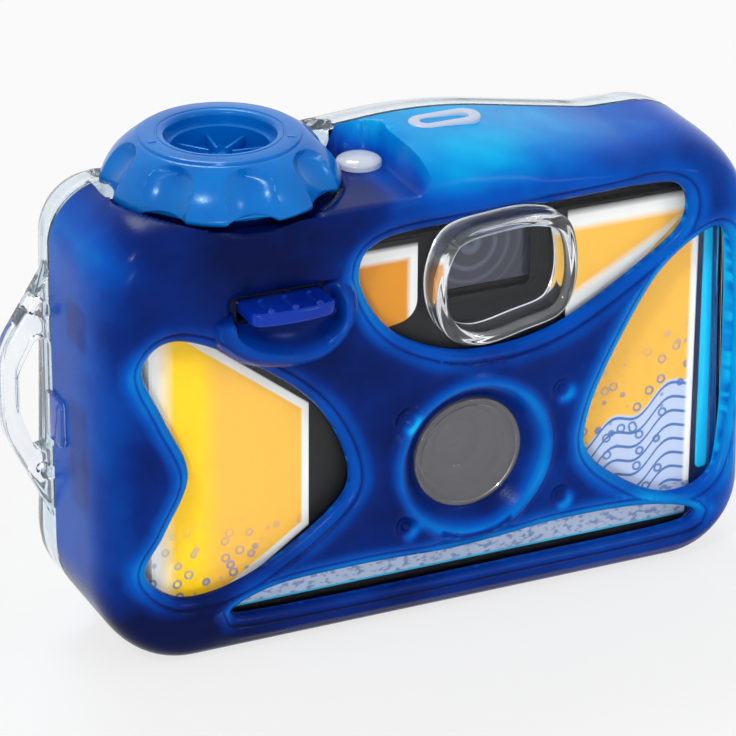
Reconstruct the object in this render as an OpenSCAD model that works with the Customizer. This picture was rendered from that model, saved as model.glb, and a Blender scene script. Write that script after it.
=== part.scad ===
// Waterproof single-use 35 mm camera: a sealed two-part housing round a loaded, card-wrapped camera.
// Millimetres. The front faces -Y, +Z is up and the origin is the middle of the flat base.

/* [Inner camera] */
// Width of the inner camera
camera_w = 110; // [106:1:118]
// Height of the inner camera
camera_h = 70.5; // [67:0.5:76]
// Depth of the inner camera
camera_d = 31; // [31:0.5:35]
// Wall of the inner camera's two mouldings
camera_wall = 1.8; // [1.2:0.1:2]
// Share of the height above the film chamber that lies under the winding deck
deck_share = 0.42; // [0.38:0.01:0.45]
// Centre of the lens, right of the middle
lens_x = 6.5; // [4:0.5:9]

/* [Housing] */
// Room between the inner camera and the housing's outer side
side_room = 9; // [8:0.5:13]
// Room between the inner camera and the base
base_room = 4.4; // [4.4:0.1:6]
// Room from the top of the inner camera to the right shoulder
head_room = 8; // [7:0.5:11]
// Room in front of the inner camera
front_room = 5.5; // [5.5:0.5:8]
// Room behind the inner camera
rear_room = 3.5; // [3.5:0.5:7]
// Height of the crown over the right shoulder
crown_rise = 6.4; // [4:0.2:9]
// Position of the seam in depth
seam_y = 4; // [2:0.5:6]
// Wall of the blue cover
cover_wall = 2.2; // [1.6:0.1:2.4]
// Wall of the clear window shell
window_wall = 1.6; // [1.2:0.1:1.8]
// Wall of the clear rear shell
rear_wall = 2.2; // [1.6:0.1:2.6]
// Thickness of the flat housing seal
seal_t = 0.8; // [0.6:0.1:1.2]
// How far the front and rear faces draw in from the outline
edge_inset = 7; // [5:0.5:8]
// Step around each window on the blue cover
window_step = 1.2; // [0.6:0.1:1.6]
// Width of the raised rim round each window
rim_w = 2.2; // [1.8:0.1:3]
// Height of the raised rim round each window
rim_out = 0.9; // [0.4:0.1:1.4]

/* [Handle] */
// Width of the gap between handle bar and housing
handle_gap = 5.6; // [4.4:0.1:7]
// Width of the handle bar
handle_bar = 3; // [2.6:0.1:5]
// Depth of the handle bar
handle_t = 4.5; // [3.5:0.5:6]

/* [Winding knob] */
// Largest radius of the winding knob
knob_r = 21.2; // [19:0.1:22.5]
// Height of the winding knob
knob_h = 9.4; // [8:0.2:12]
// Number of flutes around the knob
knob_flutes = 8; // [6:1:10]
// Radius of the knob's shaft
shaft_r = 3; // [2.5:0.1:3.5]
// Distance from the inner camera's left end to the winding axis
wind_inset = 21.8; // [21:0.2:24]

/* [Lens port and finder] */
// Radius of the lens port
port_r = 10.7; // [9:0.1:11.5]
// Depth that the finder hood stands in front of the cover
hood_out = 3.4; // [2:0.2:5]
// Wall of the finder hood
hood_wall = 2.6; // [2:0.1:3.2]

/* [Shutter lever] */
// Width of the shutter lever
lever_w = 16; // [13:0.5:18]
// Length of the lever in front of the cover
lever_out = 7; // [5:0.5:9]
// Thickness of the lever blade
lever_t = 2.6; // [2:0.1:2.8]
// Number of grip ridges on the lever
lever_ridges = 3; // [2:1:5]

/* [Film] */
// Radius of the film cassette
cassette_r = 12.4; // [12:0.1:12.6]
// Length of the film cassette
cassette_h = 47; // [46:0.5:47.5]
// Height of the film cassette above the inner camera's floor
cassette_lift = 1; // [1:0.1:1.6]
// Width of the film
film_w = 35; // [34:0.5:35]
// Teeth on the film sprocket
sprocket_teeth = 8; // [6:1:9]

/* [Clearances] */
// Clearance between parts that are bonded or seated
seat_gap = 0.15; // [0.1:0.05:0.2]
// Clearance between parts that pass each other
pass_gap = 0.35; // [0.3:0.05:0.5]
// Radial clearance of a turning shaft
run_gap = 0.06; // [0.03:0.01:0.1]

/* [Hidden] */
$fn = 64;
far = 60;
bite = 0.5;

// Housing planes, from the inner camera outwards
half_w = camera_w / 2 + side_room;
camera_top = base_room + camera_h;
lens_z = base_room + camera_wall + cassette_lift + cassette_h / 2;
frame_z = lens_z - cassette_h / 2 - 0.8;
frame_top = lens_z + cassette_h / 2 + 2.6;
deck_z = frame_top + deck_share * (camera_top - frame_top);
shoulder_z = camera_top + head_room;
camera_front_y = -camera_d / 2;
camera_back_y = camera_d / 2;
front_y = camera_front_y - front_room;
rear_y = camera_back_y + rear_room;
window_off = cover_wall + seat_gap;
liner_off = window_off + window_wall;
pane_y = front_y + window_off;
liner_y = front_y + liner_off;
rear_start_y = seam_y + seal_t;

// Winding axis and the round well that the knob sits in
wind_x = wind_inset - camera_w / 2;
platform_z = shoulder_z - 1.7;
knob_z = platform_z + 1.6;
well_r = knob_r + 1.1;
turret_r = knob_r - 1.7;
neck_r = knob_r - 4.4;
neck_h = 2.1;
neck_wall = 2;
knob_top_z = knob_z + knob_h;
bearing_r = shaft_r + 3.5;

// Winding wheel on the deck, the shaft's collar over it and the bearing above that
thumb_z = deck_z + 0.5;
thumb_t = (camera_top - deck_z) / 3;
thumb_r = 9.5;
shaft_low = thumb_z + thumb_t / 3;
collar_t = 1.2;
collar_z = thumb_z + thumb_t + pass_gap;
bearing_z = collar_z + collar_t + pass_gap;
seal_cord_r = 0.85;
seal_groove = 2.2;
seal_z = (bearing_z + platform_z - liner_off) / 2;

// Frame counter well, oval boss and finder
counter_at = [wind_x + knob_r + 4.4, -2.2];
counter_well_r = 6;
counter_floor_z = platform_z + 1.4;
counter_lens_r = 4.1;
oval_at = [9, -2.4];
oval_w = 15;
oval_d = 6.5;
oval_top_z = shoulder_z + crown_rise - 1.2;
finder_x = 10.5;
finder_z = camera_top - 7.2;
finder_w = 19;
finder_h = 12;

// Housing outline at the seam, counter-clockwise as [x, z, corner radius]
crown_x = 8;
valley_x = 41;
seam_path = [
    [-half_w, 0, 17],
    [half_w, 0, 15],
    [half_w, shoulder_z, 14],
    [valley_x, shoulder_z + 0.4, 22],
    [crown_x, shoulder_z + crown_rise, 90],
    [-half_w, shoulder_z + 1.5, 11]];
arc_steps = 8;

// How long the wall runs straight from the seam before it rounds, at the base and at the shoulder
front_run = [17, 6];
rear_run = [9, 1];
rear_inset = edge_inset + 4;
squareness = 0.75;
round_angles = [0, 18, 36, 54, 72, 90];

// Snap tabs on the two sides
latch_z = 42;
latch_w = 9;
latch_t = 0.9;
latch_reach = 6;

// Window outlines on the front, counter-clockwise
grip_window = [for (p = [[15, 13.2], [28, 15.3], [43.5, 25], [46.7, 33], [40, 46.5], [26, 57.7],
    [13.5, 63.3], [7.7, 59], [11.5, 49], [16, 37.5], [11.5, 27], [7.7, 19.5]]) [p.x - half_w, p.y]];
side_window = [for (p = [[15.4, 14.4], [8, 17], [4.6, 28], [3.8, 42], [4.8, 58], [8.2, 66.5],
    [18.9, 60.6], [27, 48.5], [33.2, 35], [33.2, 26], [24, 17.8]]) [half_w - p.x, p.y]];
finder_window = [for (p = [[10, -16.9], [24, -14.7], [40, -6], [48.8, 1.3], [46.5, 8.9], [30, 9.4],
    [10, 8.7], [-10.5, 7.9], [-15.4, 1.8], [-10.5, -8.4], [-1, -14.7]]) [p.x, finder_z + p.y]];
base_window = [[-40, 8.2], [-20, 7.3], [15, 7.3], [48, 7.7], [53, 10], [42, 12.9], [25, 13.5],
    [5, 12.3], [-15, 12.7], [-32, 12]];
hood_outline = [for (p = [[-4, -14], [4, -12.8], [12, -10.4], [14.8, -3.2], [13.4, 6.4], [8, 9.4],
    [-0.5, 9.7], [-9.4, 8], [-13, 1.6], [-13, -5.8], [-10, -11.6]]) [finder_x + p.x, finder_z + p.y]];

// Shutter lever
lever_x = wind_x + 2.7;
lever_z = deck_z + 3.1;
pivot_y = camera_front_y + 0.9;
pivot_z = deck_z + 6.6;
pivot_r = 1;
lever_hub_r = 2;
slot_w = lever_w + 3.6;
slot_h = lever_t + 4.4;
slot_z = lever_z - lever_t / 2 - 2;
lever_tip_y = front_y - lever_out;
tail_y = pivot_y + 0.8;
tail_z = deck_z + 0.9;
guard_out = 3.2;
spring_r = 1.7;
spring_wire = 0.3;
spring_turns = 4;
spring_room = 3.4;
lug_t = 2;

// Film path
film_y = 9.3;
film_t = 0.15;
gate_face_y = film_y - 0.3;
chamber_r = cassette_r + 0.5;
chamber_wall = 1.2;
supply_x = camera_w / 2 - 14.4;
roll_r = film_y - pass_gap;
supply_bore_r = roll_r + 0.8;
film_z = lens_z - film_w / 2;
frame_front_y = -9.5;
gate_w = 36;
gate_h = 24;
sprocket_r = 6;
tooth_h = 0.9;
sprocket_x = wind_x + 20.7;
sprocket_y = gate_face_y - sprocket_r - tooth_h;
sprocket_z = film_z + film_w - 3;
sprocket_t = 2;
sprocket_shaft_r = 2;

// Lens and shutter
blade_y = frame_front_y - pass_gap;
blade_t = 0.5;
barrel_y = blade_y - blade_t - pass_gap;
barrel_t = 0.8;
barrel_len = 3.4;
lens_r = 6;
lens_t = 2.2;
barrel_wall = 1.5;
blade_pivot = [lens_x - 9, lens_z + 6];
blade_pivot_r = 1;

function unit(v) = v / norm(v);

// Points of the arc that rounds corner b, given as [x, z, radius], between a and c
function corner(a, b, c) =
    let (u = unit([a.x - b.x, a.y - b.y]),
        w = unit([c.x - b.x, c.y - b.y]),
        half = acos(u * w) / 2,
        centre = [b.x, b.y] + unit(u + w) * b.z / sin(half),
        start = [b.x, b.y] + u * b.z / tan(half) - centre,
        first = atan2(start.y, start.x),
        sweep = sign(cross(-u, w)) * (180 - 2 * half))
    [for (k = [0:arc_steps]) let (t = first + sweep * k / arc_steps)
        centre + b.z * [cos(t), sin(t)]];

function rounded(path) =
    let (n = len(path))
    [for (i = [0:n - 1]) each corner(path[(i + n - 1) % n], path[i], path[(i + 1) % n])];

// The same path with every edge moved inwards by d
function inset(path, d) =
    let (n = len(path))
    [for (i = [0:n - 1])
        let (b = path[i],
            a = path[(i + n - 1) % n],
            c = path[(i + 1) % n],
            u = unit([a.x - b.x, a.y - b.y]),
            w = unit([c.x - b.x, c.y - b.y]),
            side = sign(cross(-u, w)),
            p = [b.x, b.y] + side * unit(u + w) * d / sin(acos(u * w) / 2))
        [p.x, p.y, max(b.z - side * d, 0.4)]];

// Closed smooth curve through the points
function between(a, b, c, d, t) =
    (2 * b + (c - a) * t + (2 * a - 5 * b + 4 * c - d) * t * t
        + (3 * b - a - 3 * c + d) * t * t * t) / 2;
function smooth(pts, steps = 5) =
    let (n = len(pts))
    [for (i = [0:n - 1]) for (k = [0:steps - 1])
        between(pts[(i + n - 1) % n], pts[i], pts[(i + 1) % n], pts[(i + 2) % n], k / steps)];

// A counter-clockwise loop moved outwards by d along its normals
function grow(loop, d) =
    let (n = len(loop))
    [for (i = [0:n - 1])
        let (t = unit(loop[(i + 1) % n] - loop[(i + n - 1) % n]))
        loop[i] + d * [t.y, -t.x]];

function sum(v, i = 0) = i == len(v) ? 0 : v[i] + sum(v, i + 1);
function mean(pts) = [for (k = [0:2]) sum([for (p = pts) p[k]]) / len(pts)];
function run_at(z, runs) = runs[0] + (runs[1] - runs[0]) * min(1, max(0, z / shoulder_z));

// Ring of the front half, o inside the outer surface, at one angle of the rounded edge
function front_ring(o, a) =
    let (edge = rounded(seam_path),
        ring = rounded(inset(seam_path, o + edge_inset * (1 - pow(cos(a), squareness)))))
    [for (i = [0:len(ring) - 1])
        let (run = run_at(edge[i].y, front_run))
        [ring[i].x,
            seam_y - run - (seam_y - front_y - run - o) * pow(sin(a), squareness),
            ring[i].y]];
function rear_ring(o, a) =
    let (edge = rounded(seam_path),
        ring = rounded(inset(seam_path, o + rear_inset * (1 - cos(a)))))
    [for (i = [0:len(ring) - 1])
        let (run = run_at(edge[i].y, rear_run))
        [ring[i].x,
            rear_start_y + run + (rear_y - rear_start_y - run - o) * sin(a),
            ring[i].y]];
function flat_ring(o, y) = [for (p = rounded(inset(seam_path, o))) [p.x, y, p.y]];

// Solid skinned over rings listed from the back forwards, closed with a fan at each end
module loft(rings) {
    n = len(rings[0]);
    last = len(rings) - 1;
    points = [for (r = rings) each r, mean(rings[0]), mean(rings[last])];
    hub = n * (last + 1);
    polyhedron(points, [
        for (j = [0:last - 1]) for (i = [0:n - 1])
            let (a = j * n + i, b = j * n + (i + 1) % n)
            each [[a, a + n, b + n], [a, b + n, b]],
        for (i = [0:n - 1])
            each [[hub, i, (i + 1) % n], [hub + 1, last * n + (i + 1) % n, last * n + i]]]);
}

// Prism over an outline in x and z, from y_back forwards
module slab(loop, y_back, t) {
    translate([0, y_back, 0])
        rotate([90, 0, 0])
            linear_extrude(t)
                polygon(loop);
}

module block(x, y, z) {
    translate([x[0], y[0], z[0]])
        cube([x[1] - x[0], y[1] - y[0], z[1] - z[0]]);
}

// Cylinder along Y, from y_back forwards
module rod_y(x, y_back, z, r, t) {
    translate([x, y_back, z])
        rotate([90, 0, 0])
            cylinder(r = r, h = t);
}

module rod_z(at, z, r, h) {
    translate([at.x, at.y, z])
        cylinder(r = r, h = h);
}

// Slot outline with round ends, long in x
module oval(w, d, h) {
    linear_extrude(h) {
        for (s = [-1, 1])
            translate([s * (w - d) / 2, 0])
                circle(d = d);
        square([w - d, d], center = true);
    }
}

// The knob's well and the counter's well, which is open to the front, o inside the outer surface
module wells(o) {
    rod_z([wind_x, 0], platform_z - o, well_r + o, far);
    rod_z(counter_at, counter_floor_z - o, counter_well_r + o, far);
    block([wind_x + 8 - o, counter_at.x + counter_well_r + o], [-far, counter_at.y], [counter_floor_z - o, 2 * far]);
}

// Solid inside the front half's surface moved in by o, run past the seam by past
module front_body(o, past) {
    difference() {
        loft([flat_ring(o, seam_y + past), for (a = round_angles) front_ring(o, a)]);
        wells(o);
    }
    intersection() {
        rod_z([wind_x, 0], lens_z, turret_r - o, platform_z - o - lens_z);
        block([-far * 2, far], [-far, seam_y + past], [0, far * 2]);
    }
}

module rear_body(o, past) {
    difference() {
        loft([for (a = [90, 72, 54, 36, 18, 0]) rear_ring(o, a), flat_ring(o, rear_start_y - past)]);
        wells(o);
    }
}

// Slice of the seam outline moved in by o, with the wells
module seam_slab(o, y_back, t) {
    difference() {
        slab(rounded(inset(seam_path, o)), y_back, t);
        wells(o);
    }
}

windows = [grip_window, side_window, finder_window, base_window];

// Raised band round every window that follows the curve of the cover
module window_rims() {
    intersection() {
        loft([flat_ring(-rim_out, seam_y), for (a = round_angles) front_ring(-rim_out, a)]);
        for (w = windows)
            slab(grow(smooth(w), rim_w), front_y + 9, far);
    }
}

module cover_windows() {
    for (w = windows) {
        slab(smooth(w), front_y + 9, far);
        slab(grow(smooth(w), window_step), front_y - rim_out + window_step / 2, far);
    }
}

// Snap tab on each side wall, reaching forward over the seam
module latches(t, margin, out) {
    for (s = [-1, 1])
        translate([s * (half_w - t), 0, 0])
            mirror([s < 0 ? 1 : 0, 0, 0])
                block([0, out], [seam_y - latch_reach - margin, rear_start_y + 1],
                    [latch_z - latch_w / 2 - margin, latch_z + latch_w / 2 + margin]);
}

// Pins of the window shell that are staked in countersunk holes of the cover
stake_at = [lens_x + 2.7, lens_z - 1.1];
stake_x = 15.5;
stake_z = 10.7;
stake_r = 1.1;
stake_mouth_r = 2.7;
stake_sink = 1.5;
module at_stakes() {
    for (x = [-stake_x, stake_x], z = [-stake_z, stake_z])
        translate([stake_at.x + x, 0, stake_at.y + z])
            children();
}

module lever_slot(margin, y_back, t) {
    block([lever_x - slot_w / 2 - margin, lever_x + slot_w / 2 + margin],
        [y_back - t, y_back],
        [slot_z - margin, slot_z + slot_h + margin]);
}

// Curved shelf that guards the underside of the lever
module lever_guard() {
    outer = [[-11.8, 0], [-11, -3.3], [-8.6, -6], [-4.3, -8.3], [2.3, -9.6], [8, -8.4], [11.8, -4.4],
        [12.3, 0.3], [10.8, 4.4]];
    rim = 2.2;
    inner = [for (p = outer) p * (1 - rim / norm(p))];
    n = len(outer);
    band = [each outer, for (i = [1:n]) inner[n - i]];
    slab(smooth([for (p = band) [lever_x + p.x, lever_z - 1.1 + p.y]], 3), front_y + bite, bite + guard_out);
}

// Collar that stands on the platform under the knob
module knob_neck() {
    rod_z([wind_x, 0], platform_z - bite, neck_r, bite + neck_h);
}

module front_cover() {
    color([0.05, 0.3, 0.85, 0.8])
        difference() {
            union() {
                difference() {
                    union() {
                        front_body(0, 0);
                        window_rims();
                    }
                    front_body(cover_wall, bite);
                }
                translate([lens_x, front_y, lens_z])
                    rotate([90, 0, 0])
                        rotate_extrude()
                            translate([port_r + 3, 0])
                                circle(r = 1, $fn = 24);
                lever_guard();
                intersection() {
                    knob_neck();
                    block([-far * 2, far], [-far, seam_y], [0, far * 2]);
                }
            }
            cover_windows();
            rod_y(lens_x, front_y + 9, lens_z, port_r, far);
            translate([lens_x, front_y + cover_wall, lens_z])
                rotate([90, 0, 0])
                    cylinder(r1 = port_r, r2 = port_r + 2.1, h = cover_wall + 0.1);
            at_stakes() {
                rod_y(0, front_y + 9, 0, stake_r + seat_gap, far);
                translate([0, front_y + stake_sink, 0])
                    rotate([90, 0, 0])
                        cylinder(r1 = stake_r + seat_gap, r2 = stake_mouth_r, h = stake_sink);
            }
            slab(grow(smooth(hood_outline), pass_gap), front_y + 9, far);
            lever_slot(0, front_y + 9, far);
            latches(latch_t + seat_gap, seat_gap + pass_gap, far);
            rod_z([wind_x, 0], platform_z, neck_r - neck_wall, far);
            rod_z([wind_x, 0], platform_z - 9, shaft_r + pass_gap, far);
            rod_z(counter_at, counter_floor_z - 9, counter_lens_r - 0.8 + seat_gap, far);
            translate([oval_at.x, oval_at.y, oval_top_z - 14])
                oval(oval_w + 2 * seat_gap, oval_d + 2 * seat_gap, far);
        }
}

module window_shell() {
    color([0.85, 0.92, 0.97, 0.35])
        difference() {
            union() {
                difference() {
                    union() {
                        front_body(window_off, 0);
                        slab(smooth(hood_outline), pane_y + bite, window_off + hood_out + bite);
                        rod_y(lens_x, pane_y + bite, lens_z, port_r - seat_gap, bite + 0.8);
                        at_stakes()
                            rod_y(0, pane_y + bite, 0, stake_r, pane_y + bite - front_y - stake_sink / 2);
                        translate([oval_at.x, oval_at.y, oval_top_z - 8])
                            oval(oval_w, oval_d, 8);
                    }
                    front_body(liner_off, bite);
                    slab(grow(smooth(hood_outline), -hood_wall), pane_y - 1, far);
                    translate([oval_at.x, oval_at.y, oval_top_z - 3])
                        oval(oval_w - 4, oval_d - 3.4, far);
                }
                intersection() {
                    rod_z([wind_x, 0], bearing_z, bearing_r, platform_z - liner_off + bite - bearing_z);
                    block([-far * 2, far], [-far, seam_y], [0, far * 2]);
                }
                for (s = [-1, 1])
                    translate([lever_x + s * (lever_w / 2 + pass_gap + lug_t / 2), 0, 0])
                        block([-lug_t / 2, lug_t / 2], [liner_y - bite, pivot_y + 2.2], [pivot_z - 2.4, pivot_z + 2.4]);
            }
            lever_slot(0, front_y + liner_off + bite, far);
            rod_z([wind_x, 0], platform_z - far / 2, shaft_r + run_gap, far);
            rod_z([wind_x, 0], seal_z - seal_groove / 2, shaft_r + run_gap + 2 * seal_cord_r + seat_gap, seal_groove);
            rod_z(counter_at, counter_floor_z - 9, counter_lens_r - 0.8 + seat_gap, far);
            pin_hole(pivot_r + seat_gap / 3);
        }
}

module pin_hole(r) {
    translate([lever_x - slot_w, pivot_y, pivot_z])
        rotate([0, 90, 0])
            cylinder(r = r, h = 2 * slot_w);
}

// Carrying handle: a bowed bar with three gaps between it and the housing
module handle() {
    wall_x = -half_w;
    in_x = wall_x - handle_gap;
    out_x = in_x - handle_bar;
    outer = [[wall_x + 4, 13.3, 2], [out_x, 39.5, 14], [out_x, 55.3, 10], [wall_x + 4, 74.8, 2]];
    main_gap = [[wall_x, 35, 1], [wall_x, 56.4, 1], [wall_x - 2.4, 56.4, 1.6], [in_x, 50.5, 5],
        [in_x, 42.5, 8], [wall_x - 2.8, 34.4, 1.4]];
    upper_gap = [[wall_x, 60, 0.6], [wall_x, 66, 0.6], [wall_x - 3, 60.4, 0.6]];
    lower_gap = [[wall_x, 31.4, 0.6], [wall_x - 2.4, 30.9, 0.6], [wall_x, 25.5, 0.6]];
    difference() {
        slab(rounded(outer), rear_start_y + handle_t, handle_t);
        for (gap = [main_gap, upper_gap, lower_gap])
            slab(rounded(gap), far, 2 * far);
    }
}

module rear_shell() {
    flange_t = 2;
    color([0.88, 0.93, 0.97, 0.3]) {
        difference() {
            union() {
                difference() {
                    rear_body(0, 0);
                    rear_body(rear_wall, bite);
                }
                difference() {
                    seam_slab(0.6, rear_start_y + flange_t, flange_t);
                    seam_slab(liner_off, far, 2 * far);
                }
                slab(eyepiece(3), rear_y + 1.2, 1.2 + bite);
                latches(latch_t, 0, latch_t);
                intersection() {
                    knob_neck();
                    block([-far * 2, far], [rear_start_y, far], [0, far * 2]);
                }
                for (x = [-camera_w / 4, camera_w / 4], z = [base_room + 10, deck_z - 12])
                    rod_y(x, rear_y - rear_wall + bite, z, 3, rear_room - rear_wall + bite - pass_gap);
            }
            slab(eyepiece(0), rear_y + far, far + 0.4);
            rod_z([wind_x, 0], platform_z, neck_r - neck_wall, far);
        }
        difference() {
            handle();
            loft([for (a = [90, 54, 0]) rear_ring(0.8, a), flat_ring(0.8, rear_start_y - bite)]);
        }
    }
}

// Rounded eyepiece outline on the rear face, larger by d
function eyepiece(d) = rounded([for (c = [[-1, -1], [1, -1], [1, 1], [-1, 1]])
    [finder_x + c.x * (7 + d), finder_z - 2 + c.y * (5 + d), 2.5 + d]]);

module housing_seal() {
    margin = latch_t + seat_gap;
    color([0.75, 0.85, 0.9])
        difference() {
            seam_slab(margin, rear_start_y - 0.04, seal_t - 0.08);
            seam_slab(liner_off - seat_gap, far, 2 * far);
        }
}

module wind_knob() {
    hole_r = 9.8;
    ring_r = 14.5;
    floor_z = knob_top_z - 6;
    flank_r = ring_r + 0.4;
    flank_top = knob_top_z - 0.6;
    flank_low = knob_z + 1.2;
    profile = [
        [0, floor_z], [hole_r, floor_z], [hole_r, knob_top_z], [ring_r, knob_top_z],
        for (t = [0:15:90])
            [flank_r + (knob_r - flank_r) * (t / 90 + sin(t)) / 2,
                flank_low + (flank_top - flank_low) * (1 - t / 90 + cos(t)) / 2],
        [knob_r - 0.8, knob_z], [knob_r - 3, knob_z], [hole_r + 4, knob_top_z - 3.4],
        [hole_r + 2, knob_top_z - 3.4], [hole_r + 2, floor_z - 2], [shaft_r + 2.2, floor_z - 2],
        [shaft_r + 2.2, platform_z + 0.8], [shaft_r + seat_gap / 3, platform_z + 0.8],
        [shaft_r + seat_gap / 3, floor_z - 1.4], [0, floor_z - 1.4]];
    flute_r = 6.4;
    flute_cut = 1.4;
    first_turn = -7;
    ribs = 8;
    flute_tilt = atan2(knob_r - flank_r, flank_top - flank_low);
    color([0, 0.45, 0.88])
        translate([wind_x, 0, 0]) {
            difference() {
                rotate_extrude($fn = 96)
                    polygon(profile);
                for (i = [0:knob_flutes - 1])
                    rotate([0, 0, first_turn + i * 360 / knob_flutes])
                        translate([flank_r, 0, flank_top])
                            rotate([0, -flute_tilt, 0])
                                translate([flute_r - flute_cut, 0, -5.6]) {
                                    sphere(r = flute_r);
                                    mirror([0, 0, 1])
                                        cylinder(r = flute_r, h = far / 2);
                                }
            }
            for (i = [0:ribs - 1])
                rotate([0, 0, first_turn + i * 360 / ribs])
                    block([2.5, hole_r + bite], [-0.4, 0.4], [floor_z - bite, floor_z + 2]);
            rod_z([0, 0], floor_z - bite, 3.2, bite + 2.4);
            for (a = [179, 326])
                rotate([0, 0, a])
                    block([hole_r + 1, ring_r - 1], [-0.4, 0.4], [knob_top_z - bite, knob_top_z + 0.3]);
        }
}

module knob_shaft() {
    color("gainsboro") {
        rod_z([wind_x, 0], shaft_low, shaft_r, knob_top_z - 7.5 - shaft_low);
        rod_z([wind_x, 0], collar_z, shaft_r + 1.5, collar_t);
    }
}

module knob_seal() {
    color([0.15, 0.15, 0.15])
        translate([wind_x, 0, seal_z])
            rotate_extrude()
                translate([shaft_r + run_gap + seal_cord_r, 0])
                    circle(r = seal_cord_r, $fn = 24);
}

module counter_lens() {
    rise = 1.9;
    plug_r = counter_lens_r - 0.8;
    color([0.95, 0.96, 0.97, 0.6])
        translate([counter_at.x, counter_at.y, counter_floor_z])
            rotate_extrude()
                polygon([[0, -liner_off], [plug_r, -liner_off], [plug_r, seat_gap], [counter_lens_r, seat_gap],
                    for (t = [0:15:90]) [counter_lens_r * cos(t), 0.8 + (rise - 0.8) * sin(t)]]);
}

module shutter_lever() {
    half = lever_w / 2;
    ridge_r = 0.45;
    ridge_len = lever_out - 2.6;
    ridge_pitch = lever_w / (lever_ridges + 0.5);
    coil_x = half - spring_room;
    edge = rounded([[-half, lever_tip_y + 1.6, 2.2], [0, lever_tip_y, 30], [half, lever_tip_y + 1.6, 2.2],
        [half, tail_y, 0.3], [-half, tail_y, 0.3]]);
    color([0.03, 0.16, 0.7])
        translate([lever_x, 0, 0])
            difference() {
                union() {
                    translate([0, 0, lever_z - lever_t / 2])
                        linear_extrude(lever_t)
                            polygon(edge);
                    for (i = [0:lever_ridges - 1])
                        translate([(i - (lever_ridges - 1) / 2) * ridge_pitch, front_y - 0.8, lever_z + lever_t / 2])
                            rotate([90, 0, 0]) {
                                cylinder(r = ridge_r, h = ridge_len, $fn = 16);
                                for (end = [0, ridge_len])
                                    translate([0, 0, end])
                                        sphere(r = ridge_r * 1.6, $fn = 16);
                            }
                    block([-half, half], [pivot_y - 1.4, tail_y], [tail_z, lever_z + lever_t / 2 - 0.6]);
                    block([-half, coil_x], [pivot_y - 1.4, tail_y], [tail_z, pivot_z]);
                    translate([-half, pivot_y, pivot_z])
                        rotate([0, 90, 0])
                            cylinder(r = lever_hub_r, h = half + coil_x);
                }
                translate([-lever_x, 0, 0])
                    pin_hole(pivot_r + run_gap);
            }
}

module lever_pin() {
    half = lever_w / 2 + pass_gap + lug_t;
    color("silver")
        translate([lever_x - half, pivot_y, pivot_z])
            rotate([0, 90, 0])
                cylinder(r = pivot_r, h = 2 * half);
}

// Rubber frame in the cover's slot round the lever
module lever_seal() {
    inner_w = lever_w + 2 * pass_gap;
    color([0.1, 0.1, 0.12])
        difference() {
            lever_slot(-seat_gap, pane_y - 0.1, 1.2);
            block([lever_x - inner_w / 2, lever_x + inner_w / 2], [-far, far],
                [slot_z + 0.8, lever_z + lever_t / 2 + pass_gap + 0.2]);
        }
}

// Return spring: one wire wound round the pivot pin
module lever_spring() {
    sides = 6;
    per_turn = 10;
    steps = spring_turns * per_turn;
    pitch = spring_wire * 2 + 0.1;
    x0 = lever_x + lever_w / 2 - spring_room + pass_gap + spring_wire;
    function ring(k) =
        let (a = 360 * k / per_turn)
        [for (i = [0:sides - 1])
            let (b = 360 * i / sides, r = spring_r + spring_wire * cos(b))
            [x0 + pitch * k / per_turn + spring_wire * sin(b), pivot_y + r * cos(a), pivot_z + r * sin(a)]];
    rings = [for (k = [0:steps]) ring(k)];
    points = [for (r = rings) each r];
    tail = steps * sides;
    color("silver")
        polyhedron(points, [
            [for (i = [0:sides - 1]) i],
            [for (i = [0:sides - 1]) tail + sides - 1 - i],
            for (k = [0:steps - 1]) for (i = [0:sides - 1])
                let (a = k * sides + i, b = k * sides + (i + 1) % sides)
                each [[a, a + sides, b + sides], [a, b + sides, b]]]);
}

// Outline of the inner camera, with its lower deck under the winding wheel
step_x = wind_x + 17.2;
camera_path = [[-camera_w / 2, base_room, 6], [camera_w / 2, base_room, 4], [camera_w / 2, camera_top, 5],
    [step_x, camera_top, 2], [step_x, deck_z, 2], [-camera_w / 2, deck_z, 3]];
camera_edge = 1.2;
camera_edge_len = 2;

module camera_half(y_back, t, floor_side) {
    difference() {
        union() {
            slab(rounded(camera_path), y_back - max(floor_side, 0) * camera_edge_len, t - camera_edge_len);
            slab(rounded(inset(camera_path, camera_edge)), y_back, t);
        }
        slab(rounded(inset(camera_path, camera_wall)), y_back - floor_side * camera_wall, t);
        rod_z([wind_x, 0], deck_z - camera_wall - bite, shaft_r + 0.5 + pass_gap, far);
    }
}

module camera_front() {
    rail_x = lever_x + lever_w / 2 - 1;
    color([0.08, 0.08, 0.09])
        difference() {
            union() {
                camera_half(0, -camera_front_y, -1);
                for (s = [-1, 1])
                    translate([rail_x + s * (slide_w / 2 + pass_gap + 0.5), 0, 0])
                        block([-0.5, 0.5], [camera_front_y + 3, camera_front_y + 8], [deck_z - bite, deck_z + 1.8]);
                rod_y(lens_x, camera_front_y + bite, lens_z, lens_r + 5, bite + 0.9);
            }
            rod_y(lens_x, 0, lens_z, lens_r + 2.3, far);
            block([finder_x - finder_w / 2, finder_x + finder_w / 2], [-far, camera_front_y + 5],
                [finder_z - finder_h / 2, finder_z + finder_h / 2]);
        }
}

counter_pivot = [counter_at.x + 4.6, 2.2];
counter_post_r = 1.2;

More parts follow.
